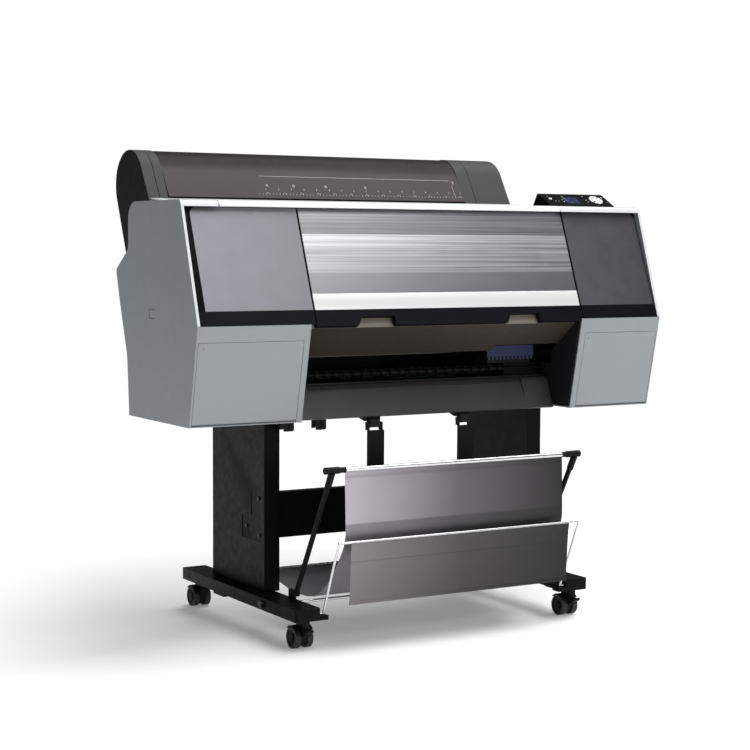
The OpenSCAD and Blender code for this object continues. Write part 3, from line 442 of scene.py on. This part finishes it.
def shell(node, width, material, paint=None, wide=None):
    """A rounded copy of a CAD node, which it replaces; paint(face) gives a face's material.

    wide: (which edges get a larger round, its radius in mm, its material).
    """
    bm = bmesh.new()
    bm.from_mesh(NODES[node].data)
    bmesh.ops.remove_doubles(bm, verts=bm.verts, dist=2e-6)
    bmesh.ops.dissolve_limit(bm, angle_limit=math.radians(0.5), verts=bm.verts, edges=bm.edges)
    bmesh.ops.recalc_face_normals(bm, faces=bm.faces)
    if paint:
        for f in bm.faces:
            f.material_index = paint(f)
    if wide:
        chosen, radius, index = wide
        bmesh.ops.bevel(bm, geom=[e for e in bm.edges if chosen(e)], offset=radius * MM, segments=6,
                        profile=0.5, affect="EDGES", clamp_overlap=True, material=index)
    mesh = bpy.data.meshes.new(node + "_shell")
    bm.to_mesh(mesh)
    bm.free()
    obj = piece(node + "_shell", mesh, BODY_OF[node], material, [node])
    return soften(obj, width)


def dress(node, material):
    """A CAD node that keeps its own mesh and gets a better material."""
    obj = NODES[node]
    obj.data.materials.clear()
    obj.data.materials.append(material)
    for poly in obj.data.polygons:
        poly.material_index = 0


def closed(bm):
    """The mesh of a bmesh that is a closed solid, its faces turned outward."""
    bmesh.ops.recalc_face_normals(bm, faces=bm.faces)
    return finished(bm)


def loft(bm, rings):
    """Faces between closed rings of vertices, and over the first and the last ring."""
    for low, high in zip(rings, rings[1:]):
        for k in range(len(low)):
            j = (k + 1) % len(low)
            bm.faces.new((low[k], low[j], high[j], high[k]))
    bm.faces.new(rings[0])
    bm.faces.new(rings[-1])


def extrude(outline, x0, x1):
    """Mesh of a (y, z) outline in mm drawn out along X from x0 to x1."""
    bm = bmesh.new()
    loft(bm, [[bm.verts.new((x * MM, y * MM, z * MM)) for y, z in outline] for x in (x0, x1)])
    return closed(bm)


def finished(bm, name="part"):
    """The mesh of a bmesh, which it frees."""
    mesh = bpy.data.meshes.new(name)
    bm.to_mesh(mesh)
    bm.free()
    return mesh


def boxes(spans):
    """Mesh of boxes, each given by its two corners in mm."""
    bm = bmesh.new()
    for a, b in spans:
        made = bmesh.ops.create_cube(bm, size=1.0)["verts"]
        size = [(q - p) * MM for p, q in zip(a, b)]
        mid = [(q + p) / 2 * MM for p, q in zip(a, b)]
        bmesh.ops.scale(bm, vec=size, verts=made)
        bmesh.ops.translate(bm, vec=mid, verts=made)
    return finished(bm)


def lathe(profile, steps=32, axis="Z"):
    """Mesh turned from (radius, height) points in mm about Z, or about X."""
    bm = bmesh.new()
    rings = []
    for r, h in profile:
        ring = []
        for k in range(steps):
            a = 2 * math.pi * k / steps
            u, v = r * math.cos(a) * MM, r * math.sin(a) * MM
            ring.append(bm.verts.new((u, v, h * MM) if axis == "Z" else (h * MM, u, v)))
        rings.append(ring)
    loft(bm, rings)
    return closed(bm)


def lean(origin, degrees):
    """Matrix of a plane at origin in mm that leans about X."""
    return Matrix.Translation(Vector(origin) * MM) @ Matrix.Rotation(math.radians(degrees), 4, "X")


REAR_Y = 236  # the back face, in mm
CLOTH_X = (-320, 320)  # the basket cloth's two edges, in mm
ON_FACE = lean((0, -286, 788), -20.87)
ON_DOOR = lean((0, -238, 550), math.degrees(math.atan2(50, 238)))
ON_CONSOLE = lean((428, -135, 1081), math.degrees(math.atan2(35.5, 60)))


def painted_highlight_faces(face):
    """1 for the faces of a housing painted pale as a highlight: its top edge and the rim in front of the
    panels.
    """
    mid = face.calc_center_median()
    return int(face.normal.z > 0.2 and mid.z > 0.85 and mid.y < 0.1)


def outer_rim(edge):
    """True for the edges between a housing's side and its front and top."""
    ends = [v.co for v in edge.verts]
    return all(abs(v.x) > 0.6779 and v.z > 0.789 and v.y < 0.09 for v in ends)


def bay_wall(face):
    """1 for the chassis walls beside the paper exit, painted a darker housing grey as shade."""
    mid = face.calc_center_median()
    return int(abs(face.normal.x) > 0.9 and mid.y < -0.15 and mid.z > 0.6)


def fascia_lip(face):
    """1 for the fascia's upright part behind the front cover's lip, painted lighter as the light that
    falls on it.
    """
    return int(face.calc_center_median().z > 0.7775 and face.normal.y < -0.5)


def cap_end(face):
    """The part of the caps a face belongs to: 0 the rim, 1 the ends, 2 the band by the cover."""
    if abs(face.normal.x) > 0.9:
        return 1
    return 2 if -0.573 < face.calc_center_median().x < 0.379 else 0


def basket_bar(face):
    """1 for the bar between the sockets of the basket's arms."""
    mid = face.calc_center_median()
    return int(abs(mid.x) < 0.3181 and mid.z > 0.43)


# rounded copies of the CAD's hard parts: edge radius in mm and material
# the housings' top edge, front rim and the rim's wide round get a painted highlight
for node in ("housing_left", "housing_right"):
    shell(node, 1.2, [HOUSING, RIM_HIGHLIGHT], paint=painted_highlight_faces, wide=(outer_rim, 7.0, 1))
# the exit's walls get painted shade
shell("chassis", 0.4, [CHASSIS, LINER_SHADE], paint=bay_wall)
# the fascia's slanted face gets painted shade, its upright part painted light
shell("fascia", 0.6, [BEIGE_SHADED, BEIGE_LIT_LIP], paint=fascia_lip)
shell("roll_caps", 1.4, [CAP, CAP_END, SMOKE], paint=cap_end)
for node, (radius, material) in {
    "ink_door_left": (0.7, HOUSING), "ink_door_right": (0.7, HOUSING),
    "front_frame": (0.6, TRIM), "front_cover": (0.9, TRIM),
    "top_deck": (0.8, DECK_TOP_LIGHT), "rear_cover": (1.0, REAR),
    "paper_guide": (0.7, GUIDE),
    "roll_cover": (0.8, SMOKE),
    "console": (0.5, GLOSS), "display": (0.3, SCREEN),
    "foot_left": (1.2, STAND), "foot_right": (1.2, STAND),
    "leg_left": (1.2, STAND), "leg_right": (1.2, STAND), "cross_beam": (1.2, STAND),
    "guide_left": (0.8, BLACK), "guide_right": (0.8, BLACK),
    "caster_fl": (0.8, BLACK), "caster_fr": (0.8, BLACK),
    "caster_rl": (0.8, BLACK), "caster_rr": (0.8, BLACK),
    "brake_lever_fl": (0.6, BLACK), "brake_lever_fr": (0.6, BLACK),
    "panel_left": (0.5, PANEL), "panel_right": (0.5, PANEL),
    "key_power": (0.6, KEY_SILVER), "key_ok": (0.8, KEY_WHITE), "key_arrows": (0.8, KEY_WHITE),
    "carriage": (0.8, INNER), "rear_sockets": (0.4, BLACK),
}.items():
    shell(node, radius, material)
shell("basket_arms", 0, [BLACK, WIRE], paint=basket_bar)
# parts that keep their own mesh, and their material
for node, material in {
    "stand_bolts": SCREW, "basket_rods": WIRE, "wheels_fl": TYRE, "wheels_fr": TYRE,
    "wheels_rl": TYRE, "wheels_rr": TYRE, "roll_adapters": CAP,
    "basket_wire": WIRE,
    "carriage_rail": RAIL, "drive_belt": BELT, "drive_pulley": ALU, "idler_pulley": ALU,
    "carriage_motor": CHASSIS, "feed_roller": ROLLER, "platen": INNER, "exit_roller": INNER,
    "ink_cartridges": INNER, "service_station": INNER, "electronics": BOARD,
}.items():
    dress(node, material)


# --- printed marks ------------------------------------------------------------------------
ROLL_AXIS = (286, 1128)  # (y, z) of the roll's axis in mm
# strokes of the digits 0 to 9 on a grid 2 wide and 4 high: each is (x0, z0, x1, z1)
STROKES = {"a": (0, 4, 2, 4), "b": (2, 2, 2, 4), "c": (2, 0, 2, 2), "d": (0, 0, 2, 0),
           "e": (0, 0, 0, 2), "f": (0, 2, 0, 4), "g": (0, 2, 2, 2)}
DIGITS = ["abcdef", "bc", "abged", "abgcd", "fgbc", "afgcd", "afgedc", "abc", "abcdefg", "abcdfg"]


# height of a printed mark, and the longest row of one, in mm
MARK_HEIGHT = 0.12
MARK_ROW = 6.0


def on_roll(x, z, lift):
    """Point of the roll cover's slanted front, in mm, lifted off its skin."""
    return (x, 158.4 + (z - 1097.2) * 0.678 - 0.828 * lift, z + 0.561 * lift)


def marks(rectangles, surface):
    """Thin printed rectangles (x0, z0, x1, z1) in mm, laid on surface(x, z, lift)."""
    bm = bmesh.new()
    for x0, z0, x1, z1 in rectangles:
        rows = max(1, math.ceil((z1 - z0) / MARK_ROW))
        layers = []
        for lift in (-0.2, MARK_HEIGHT):
            layers.append([[bm.verts.new(Vector(surface(x, z0 + (z1 - z0) * k / rows, lift)) * MM)
                            for x in (x0, x1)] for k in range(rows + 1)])
        low, top = layers
        for k in range(rows):
            for grid in (low, top):
                bm.faces.new((grid[k][0], grid[k][1], grid[k + 1][1], grid[k + 1][0]))
            for side in (0, 1):
                bm.faces.new((low[k][side], top[k][side], top[k + 1][side], low[k + 1][side]))
        for k in (0, rows):
            bm.faces.new((low[k][0], low[k][1], top[k][1], top[k][0]))
    return closed(bm)


def number(text, x, z, size, line=0.7):
    """Rectangles of a number written from x, with its foot at z."""
    out = []
    for k, char in enumerate(text):
        left = x + k * size * 0.75
        for name in DIGITS[int(char)]:
            x0, z0, x1, z1 = (v * size / 4 for v in STROKES[name])
            out.append((left + x0 - line / 2, z + z0 - line / 2, left + x1 + line / 2, z + z1 + line / 2))
    return out


def ruler():
    """White scale on the roll cover: two rows of ticks, numbers, and a line above them."""
    right = 340
    rects = [(-276, 1155.2, 318, 1155.7)]
    for k in range(64):
        x = right - 10 * k
        tall = 4.0 if k % 5 == 0 else 2.4
        rects.append((x - 0.45, 1107, x + 0.45, 1107 + tall))
        if k % 5 == 0:
            rects += number(str(k // 5 % 10), x - 6, 1109.5, 3.2, 0.45)
    for k in range(17):
        x = right - 38 * k
        rects.append((x - 0.45, 1119, x + 0.45, 1123))
    for x, text in ((-261, "40"), (-182, "30"), (-85, "20"), (37, "10")):
        rects += number(text, x - 4, 1128, 5.2, 0.6)
    rects += [(right - 20.3, 1107, right - 19.8, 1144)] + number("0", right - 15, 1147, 6, 0.7)
    piece("roll_cover_scale", marks(rects, on_roll), "roll_cover", CHALK)


def seam(name, path, x0, x1, body):
    """A dark line across a body: a thin strip on the (y, z) path, whose outside is on its left."""
    lift, depth = 0.15, 0.5
    rims = [[], []]
    for k, p in enumerate(path):
        a, b = Vector(path[max(k - 1, 0)]), Vector(path[min(k + 1, len(path) - 1)])
        along = (b - a).normalized()
        out = Vector((-along[1], along[0]))
        rims[0].append(tuple(Vector(p) + out * lift))
        rims[1].append(tuple(Vector(p) - out * depth))
    bm = bmesh.new()
    rows = [[bm.verts.new(Vector((x, y, z)) * MM) for x, (y, z) in
             ((x0, b), (x0, a), (x1, a), (x1, b))] for a, b in zip(*rims)]
    loft(bm, rows)
    return soften(piece(name, closed(bm), body, GROOVE), 0)


def turned_about_roll(radius, start, end):
    """(y, z) points round the roll's axis between two angles in degrees."""
    steps = 40
    turns = [math.radians(start + (end - start) * k / steps) for k in range(steps + 1)]
    return [(ROLL_AXIS[0] + radius * math.cos(a), ROLL_AXIS[1] + radius * math.sin(a)) for a in turns]


def roll_details():
    """The scale, the seams beside the roll cover and on the deck, and the cover's catches."""
    ruler()
    line = [(154.9, 1084), (208.7, 1174.1)] + turned_about_roll(90, 149, -22.8)
    for name, x in (("left", -574), ("right", 387)):
        seam("cap_seam_" + name, line, x - 1.4, x + 1.4, ROOT)
    ridge = [(-197.8, 1066.2), (-196.1, 1071.3), (-193.2, 1076.4), (-188.5, 1079.8), (-182.8, 1081),
             (-150, 1081)]
    seam("deck_seam_left", ridge, -581.3, -578.9, ROOT)
    seam("deck_seam_right", ridge, 411.5, 412.3, ROOT)
    lips = [(-537, -338), (-262, -230), (-78, -50), (-20, 347)]
    spans = [((a, 156.4, 1092.6), (b, 159.6, 1096.4)) for a, b in lips]
    soften(piece("roll_cover_lip", boxes(spans), "roll_cover", TRIM), 0.4)


roll_details()


# --- front and sides ------------------------------------------------------------------------
def cover_front():
    """The front cover's skin with a fine crease across it, and its brushed strip."""
    x0, x1 = -363.6, 421.6
    low, crease, (tube_y, tube_z, tube_r) = 77.3, 230, (9.5, 289.5, 9.5)
    outline = [(2.5, low), (0, low), (0, crease - 0.5), (0.25, crease), (0, crease + 0.5)]
    outline += [(0, tube_z - 0.2), (0.9, tube_z - 0.2), (2.5, 283.2)]
    skin = piece("cover_skin_front", extrude(outline, x0, x1), "front_cover", COVER,
                 ["cover_skin"], ON_FACE)
    soften(skin, 0.3)
    arcs = [(radius, math.radians(5 * k))
            for radius, turns in ((tube_r + 0.12, range(0, 17)), (tube_r - 0.6, range(16, -1, -1)))
            for k in turns]
    outline = [(tube_y - r * math.cos(a), tube_z + r * math.sin(a)) for r, a in arcs]
    roll = piece("cover_skin_roll", extrude(outline, x0, x1), "front_cover", PANEL, (),
                 ON_FACE)
    soften(roll, 0)
    outline = [(2.5, 36.1), (0, 36.1), (-0.4, 36.8), (-0.4, 76.4), (0, 77), (2.5, 77)]
    soften(piece("cover_strip_front", extrude(outline, x0, x1), "front_cover", STRIP,
                 ["cover_strip"], ON_FACE), 0.2)


def screw(name, place, axis, radius, body, material=SCREW):
    """A pan-head screw with a cross recess; axis is the way its head faces."""
    profile = [(0.2, -1.0), (radius, -1.0), (radius, 0.25), (radius * 0.8, 0.75), (0.2, 0.9)]
    mesh = lathe(profile, 20)
    turn = Vector(axis).to_track_quat("Z", "Y").to_matrix().to_4x4()
    obj = piece(name, mesh, body, material, (), Matrix.Translation(Vector(place) * MM) @ turn)
    slots = boxes([((-radius * 0.55, -0.35, 0.5), (radius * 0.55, 0.35, 1.0)),
                   ((-0.35, -radius * 0.55, 0.5), (0.35, radius * 0.55, 1.0))])
    cross = piece(name + "_cross", slots, body, GROOVE, (), obj.matrix_world.copy())
    soften(obj, 0)
    return obj, cross


def on_console(x, z, lift):
    """Point of the control panel's sloping face; x and z run along and up it in mm."""
    return (x, z, 2.15 * (69.7 - z) / 68.4 + lift)


def console_marks():
    """Small generic white marks round the display and keys, and the dark signs on the ring."""
    spots = [(31.7, 27.5, 4, 1.4), (42, 27.8, 4, 1.4), (68, 53.5, 6, 1.4), (58, 36, 2.4, 2.4),
             (58, 26, 2.4, 2.4), (139, 56, 5, 1.4), (139, 36, 5, 1.2), (139, 25, 5, 1.2),
             (20, 55, 4, 1.2), (200, 52, 4, 4), (204, 25, 3, 1.2)]
    rects = [(x - w / 2, y - h / 2, x + w / 2, y + h / 2) for x, y, w, h in spots]
    piece("console_marks", marks(rects, on_console), ROOT, CHALK, place=ON_CONSOLE)
    bm = bmesh.new()
    for turn in range(4):
        c, s = math.cos(turn * math.pi / 2), math.sin(turn * math.pi / 2)
        d = math.sqrt(0.5)
        stroke = [((u - w) * d, (u + w) * d)
                  for u, w in ((8.6, -1.7), (19.8, -1.7), (19.8, 1.7), (8.6, 1.7))]
        for shape in (((17, 0), (12, 4.4), (12, -4.4)), stroke):
            corners = [(172 + a * c - b * s, 37 + a * s + b * c) for a, b in shape]
            loft(bm, [[bm.verts.new((x * MM, y * MM, z * MM)) for x, y in corners]
                      for z in (2.4, 2.72)])
    piece("arrow_signs", closed(bm), "key_arrows", GROOVE, place=ON_CONSOLE)


def front_details():
    """Everything on the front, and the small marks on the sides."""
    cover_front()
    console_marks()
    # pinholes of the doors' latches
    for name, x in (("left", -658), ("right", 449)):
        dot = lathe([(0.3, -0.6), (1.5, -0.6), (1.5, 0.12), (0.9, 0.16), (0.3, -0.3)], 16)
        turn = Matrix.Rotation(math.radians(90), 4, "X")
        piece("door_pinhole_" + name, dot, "ink_door_" + name, GROOVE, (),
              ON_DOOR @ Matrix.Translation(Vector((x, 0, 190)) * MM) @ turn)
    # C-shaped mark of a cable guide on the left side
    outside, inside = -678.3, -677.6
    spans = [((outside, y, z), (inside, -9, top))
             for y, z, top in ((-43, 818.9, 820), (-43, 797, 798.1), (-10.1, 797, 820))]
    piece("side_mark", boxes(spans), ROOT, GROOVE)
    # small holes in the wall on the right of the paper exit
    for k, (y, z) in enumerate(((-240, 752), (-232, 700), (-214, 640))):
        hole = lathe([(0.3, -0.4), (2.2, -0.4), (2.2, 0.12), (0.3, 0.1)], 16, "X")
        piece("wall_hole_%d" % k, hole, ROOT, GROOVE, (),
              Matrix.Translation(Vector((417, y, z)) * MM) @ Matrix.Rotation(math.pi, 4, "Z"))


def carriage_skirt():
    """The blue skirt at the bottom of the carriage's front, with a row of teeth under it."""
    spans = [((217, -149.6, 686), (363, -147.9, 714))]
    spans += [((219 + 12.2 * k, -149.6, 677), (225.5 + 12.2 * k, -147.9, 686.2)) for k in range(12)]
    spans += [((217, -150.4, 699 + d), (363, -149.5, 700.4 + d)) for d in (0, 6)]
    piece("carriage_skirt", boxes(spans), "carriage", BLUE)


piece("exit_tray", boxes([((-378, -150, 626), (417, -43, 629))]), ROOT, INNER)

def rear_details():
    """Screws, a seam and a raised frame on the back, and screws on the paper guides' brackets."""
    for k, (x, z) in enumerate([(x, z) for x in (-585, -330, -52, 226, 480) for z in (572, 886)]):
        screw("rear_screw_%d" % k, (x, REAR_Y + 0.7, z), (0, 1, 0), 3.6, ROOT)
    piece("rear_seam", boxes([((-602.5, REAR_Y - 0.3, 838), (497.5, REAR_Y + 0.15, 839.4)),
                              ((-53, REAR_Y - 0.3, 560), (-51.8, REAR_Y + 0.15, 838))]), ROOT, GROOVE)
    frame_bars = [((x0, REAR_Y - 0.4, z0), (x1, REAR_Y + 1.6, z1)) for x0, z0, x1, z1 in
                  ((-540, 622, -400, 625), (-540, 578, -400, 581), (-540, 581, -537, 622),
                   (-403, 581, -400, 622))]
    soften(piece("socket_frame", boxes(frame_bars), ROOT, REAR), 0.4)
    plate = boxes([((330, REAR_Y - 0.3, 596), (392, REAR_Y + 0.5, 632))])
    soften(piece("rating_plate", plate, ROOT, SCREW_LIGHT), 0.3)
    # dust screens behind the vents
    piece("vent_screens", boxes([((x0, 230.2, 692), (x0 + 148, 231.2, 808)) for x0 in (-377, 229)]),
          ROOT, BLACK)
    for side in (-135, 135):
        for dx in (-30, 30):
            screw("guide_screw_%d_%d" % (side, dx), (side + dx, -156.9, 557), (0, -1, 0), 2.6, ROOT,
                  SCREW_LIGHT)


def hub_caps():
    """A domed cap on the outside of each caster wheel."""
    for tag in ("fl", "fr", "rl", "rr"):
        wheel = NODES["wheels_" + tag]
        ends = [wheel.matrix_world @ Vector(c) for c in wheel.bound_box]
        low, high = ([f(e[k] for e in ends) / MM for k in range(3)] for f in (min, max))
        mid_y, mid_z = (low[1] + high[1]) / 2, (low[2] + high[2]) / 2
        for name, x, way in (("in", low[0], -1), ("out", high[0], 1)):
            mesh = lathe([(0.3, -0.8 * way), (13, -0.8 * way), (13, 0.4 * way), (11, 0.9 * way),
                          (0.3, 1.2 * way)], 28, "X")
            cap = piece("hub_%s_%s" % (tag, name), mesh, "wheels_" + tag, BLACK, (),
                        Matrix.Translation(Vector((x, mid_y, mid_z)) * MM))
            soften(cap, 0)


carriage_skirt()
rear_details()
hub_caps()
front_details()


# --- basket ---------------------------------------------------------------------------------
def sheet_mesh(path, x0, x1, columns, sag, seed):
    """A cloth sheet: the (y, z) path drawn out along X, with soft waves of height sag in mm."""
    rng = random.Random(seed)
    waves = [(rng.uniform(5, 11), rng.uniform(0, 6.3), rng.uniform(0.4, 1.0)) for _ in range(5)]
    bm = bmesh.new()
    rows = []
    n = len(path)
    for i, (y, z) in enumerate(path):
        a, b = Vector(path[max(i - 1, 0)]), Vector(path[min(i + 1, n - 1)])
        along = (b - a).normalized()
        out = Vector((-along[1], along[0]))
        t = i / (n - 1)
        row = []
        for k in range(columns + 1):
            u = k / columns
            lift = sum(h * math.sin(f * u * 2 + p + t * 1.7) for f, p, h in waves) / 3
            free = math.sin(math.pi * t) ** 0.7
            edge = 1.0 + 0.6 * (abs(u - 0.5) * 2) ** 6
            d = lift * sag * free * edge
            row.append(bm.verts.new(Vector((x0 + (x1 - x0) * u, y + out[0] * d, z + out[1] * d)) * MM))
        rows.append(row)
    for low, high in zip(rows, rows[1:]):
        for k in range(columns):
            bm.faces.new((low[k], low[k + 1], high[k + 1], high[k]))
    return finished(bm)


def dense(points):
    """The path with points about 6 mm apart, its corners rounded by averaging."""
    out = []
    for a, b in zip(points, points[1:]):
        n = max(1, round(math.dist(a, b) / 6.0))
        out += [tuple(p + (q - p) * k / n for p, q in zip(a, b)) for k in range(n)]
    out.append(points[-1])
    for _ in range(6):
        out = [out[0]] + [tuple((a + 2 * b + c) / 4 for a, b, c in zip(p, q, r))
                          for p, q, r in zip(out, out[1:], out[2:])] + [out[-1]]
    return out


def hem(name, y, z, body, material):
    """A folded hem across a sheet's lower end."""
    outline = [(y - 1.5, z - 3.6), (y - 2.0, z - 2), (y - 2.0, z + 3), (y - 1.2, z + 4.4),
               (y + 1.0, z + 4.4), (y + 1.4, z + 2), (y + 1.4, z - 2), (y + 1.0, z - 3.6)]
    return soften(piece(name, extrude(outline, CLOTH_X[0] + 0.5, CLOTH_X[1] - 0.5), body, material), 0.5)


def cloths():
    """The cloth that runs from the bar into the scoop, and the flap on the wire."""
    inner = dense([(-341.5, 437), (-343.5, 400), (-345.5, 340), (-347, 285), (-338, 255), (-313.5, 219),
                   (-290.5, 186), (-252, 147), (-200, 113), (-160, 105.5), (-120, 103.5), (-60, 106.5),
                   (20, 121), (57, 137)])
    main = piece("basket_cloth", sheet_mesh(inner, *CLOTH_X, 64, 1.5, 7), "basket_arms", CLOTH,
                 ["cloth_upper", "cloth_scoop"])
    main.parent = None
    main.pop("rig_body", None)
    main.matrix_world = Matrix.Identity(4)
    main.data.shade_smooth()
    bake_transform(main)
    outer = dense([(-376.6, 270.5), (-374, 262), (-370.5, 220), (-367.5, 170), (-364.6, 120.5)])
    flap = piece("basket_flap", sheet_mesh(outer, *CLOTH_X, 64, 1.2, 11), "basket_wire", FLAP,
                 ["cloth_front"])
    flap.data.shade_smooth()
    hem("flap_hem", -364.6, 124, "basket_wire", FLAP)


cloths()


# --- studio -----------------------------------------------------------------------------
def area_light(name, place, target, size, power):
    """A rectangular soft box aimed at a point."""
    data = bpy.data.lights.new(name, "AREA")
    data.shape, data.size, data.size_y = "RECTANGLE", size[0], size[1]
    data.energy = power
    obj = placed(name, data)
    obj.location = place
    obj.rotation_euler = (Vector(target) - Vector(place)).to_track_quat("-Z", "Y").to_euler()


AMBIENT = 0.16  # how strongly the white surround lights the printer


def pale_floor():
    """A big sheet of pale paper."""
    bm = bmesh.new()
    bmesh.ops.create_grid(bm, x_segments=1, y_segments=1, size=9.0)
    floor = placed("floor", finished(bm, "floor"))
    s = Shader("floor_paper", 0.75)
    s.colour(s.mix(s.noise(0.6, 2.0), (0.86, 0.86, 0.86, 1.0), (0.88, 0.88, 0.88, 1.0)))
    s.bsdf.inputs["Emission Color"].default_value = (1, 1, 1, 1)
    s.bsdf.inputs["Emission Strength"].default_value = 0.2
    floor.data.materials.append(s.mat)


def white_surround():
    """A white background that lights the printer only a little."""
    world = bpy.data.worlds.new("studio")
    world.use_nodes = True
    tree = world.node_tree
    seen = tree.nodes.new("ShaderNodeLightPath").outputs["Is Camera Ray"]
    level = tree.nodes.new("ShaderNodeMapRange")
    level.inputs["To Min"].default_value, level.inputs["To Max"].default_value = AMBIENT, 1.0
    tree.links.new(seen, level.inputs["Value"])
    tree.links.new(level.outputs["Result"], tree.nodes["Background"].inputs["Strength"])
    tree.nodes["Background"].inputs["Color"].default_value = (1, 1, 1, 1)
    bpy.context.scene.world = world


def studio():
    """The floor, the surround, two broad suns and soft boxes above and in front."""
    pale_floor()
    white_surround()
    for name, energy, angle, way in (("sun_sheet", 2.0, 40, (0.4, 0.05, 0.9)),
                                     ("sun_front", 0.9, 30, (0.12, -0.5, 0.85))):
        sun = bpy.data.lights.new(name, "SUN")
        sun.energy, sun.angle = energy, math.radians(angle)
        lamp = placed(name, sun)
        lamp.rotation_euler = Vector(way).to_track_quat("Z", "Y").to_euler()
    area_light("top_box", (0.2, -0.9, 3.2), (0, 0, 1.0), (2.6, 1.2), 22)
    area_light("key_box", (0.5, -1.9, 2.4), (-0.2, 0, 0.8), (1.3, 1.2), 11)
    area_light("front_box", (0.9, -4.2, 0.9), (0, 0, 0.6), (1.4, 1.4), 29)
    view = bpy.context.scene.view_settings
    view.view_transform, view.look = "Standard", "None"


studio()
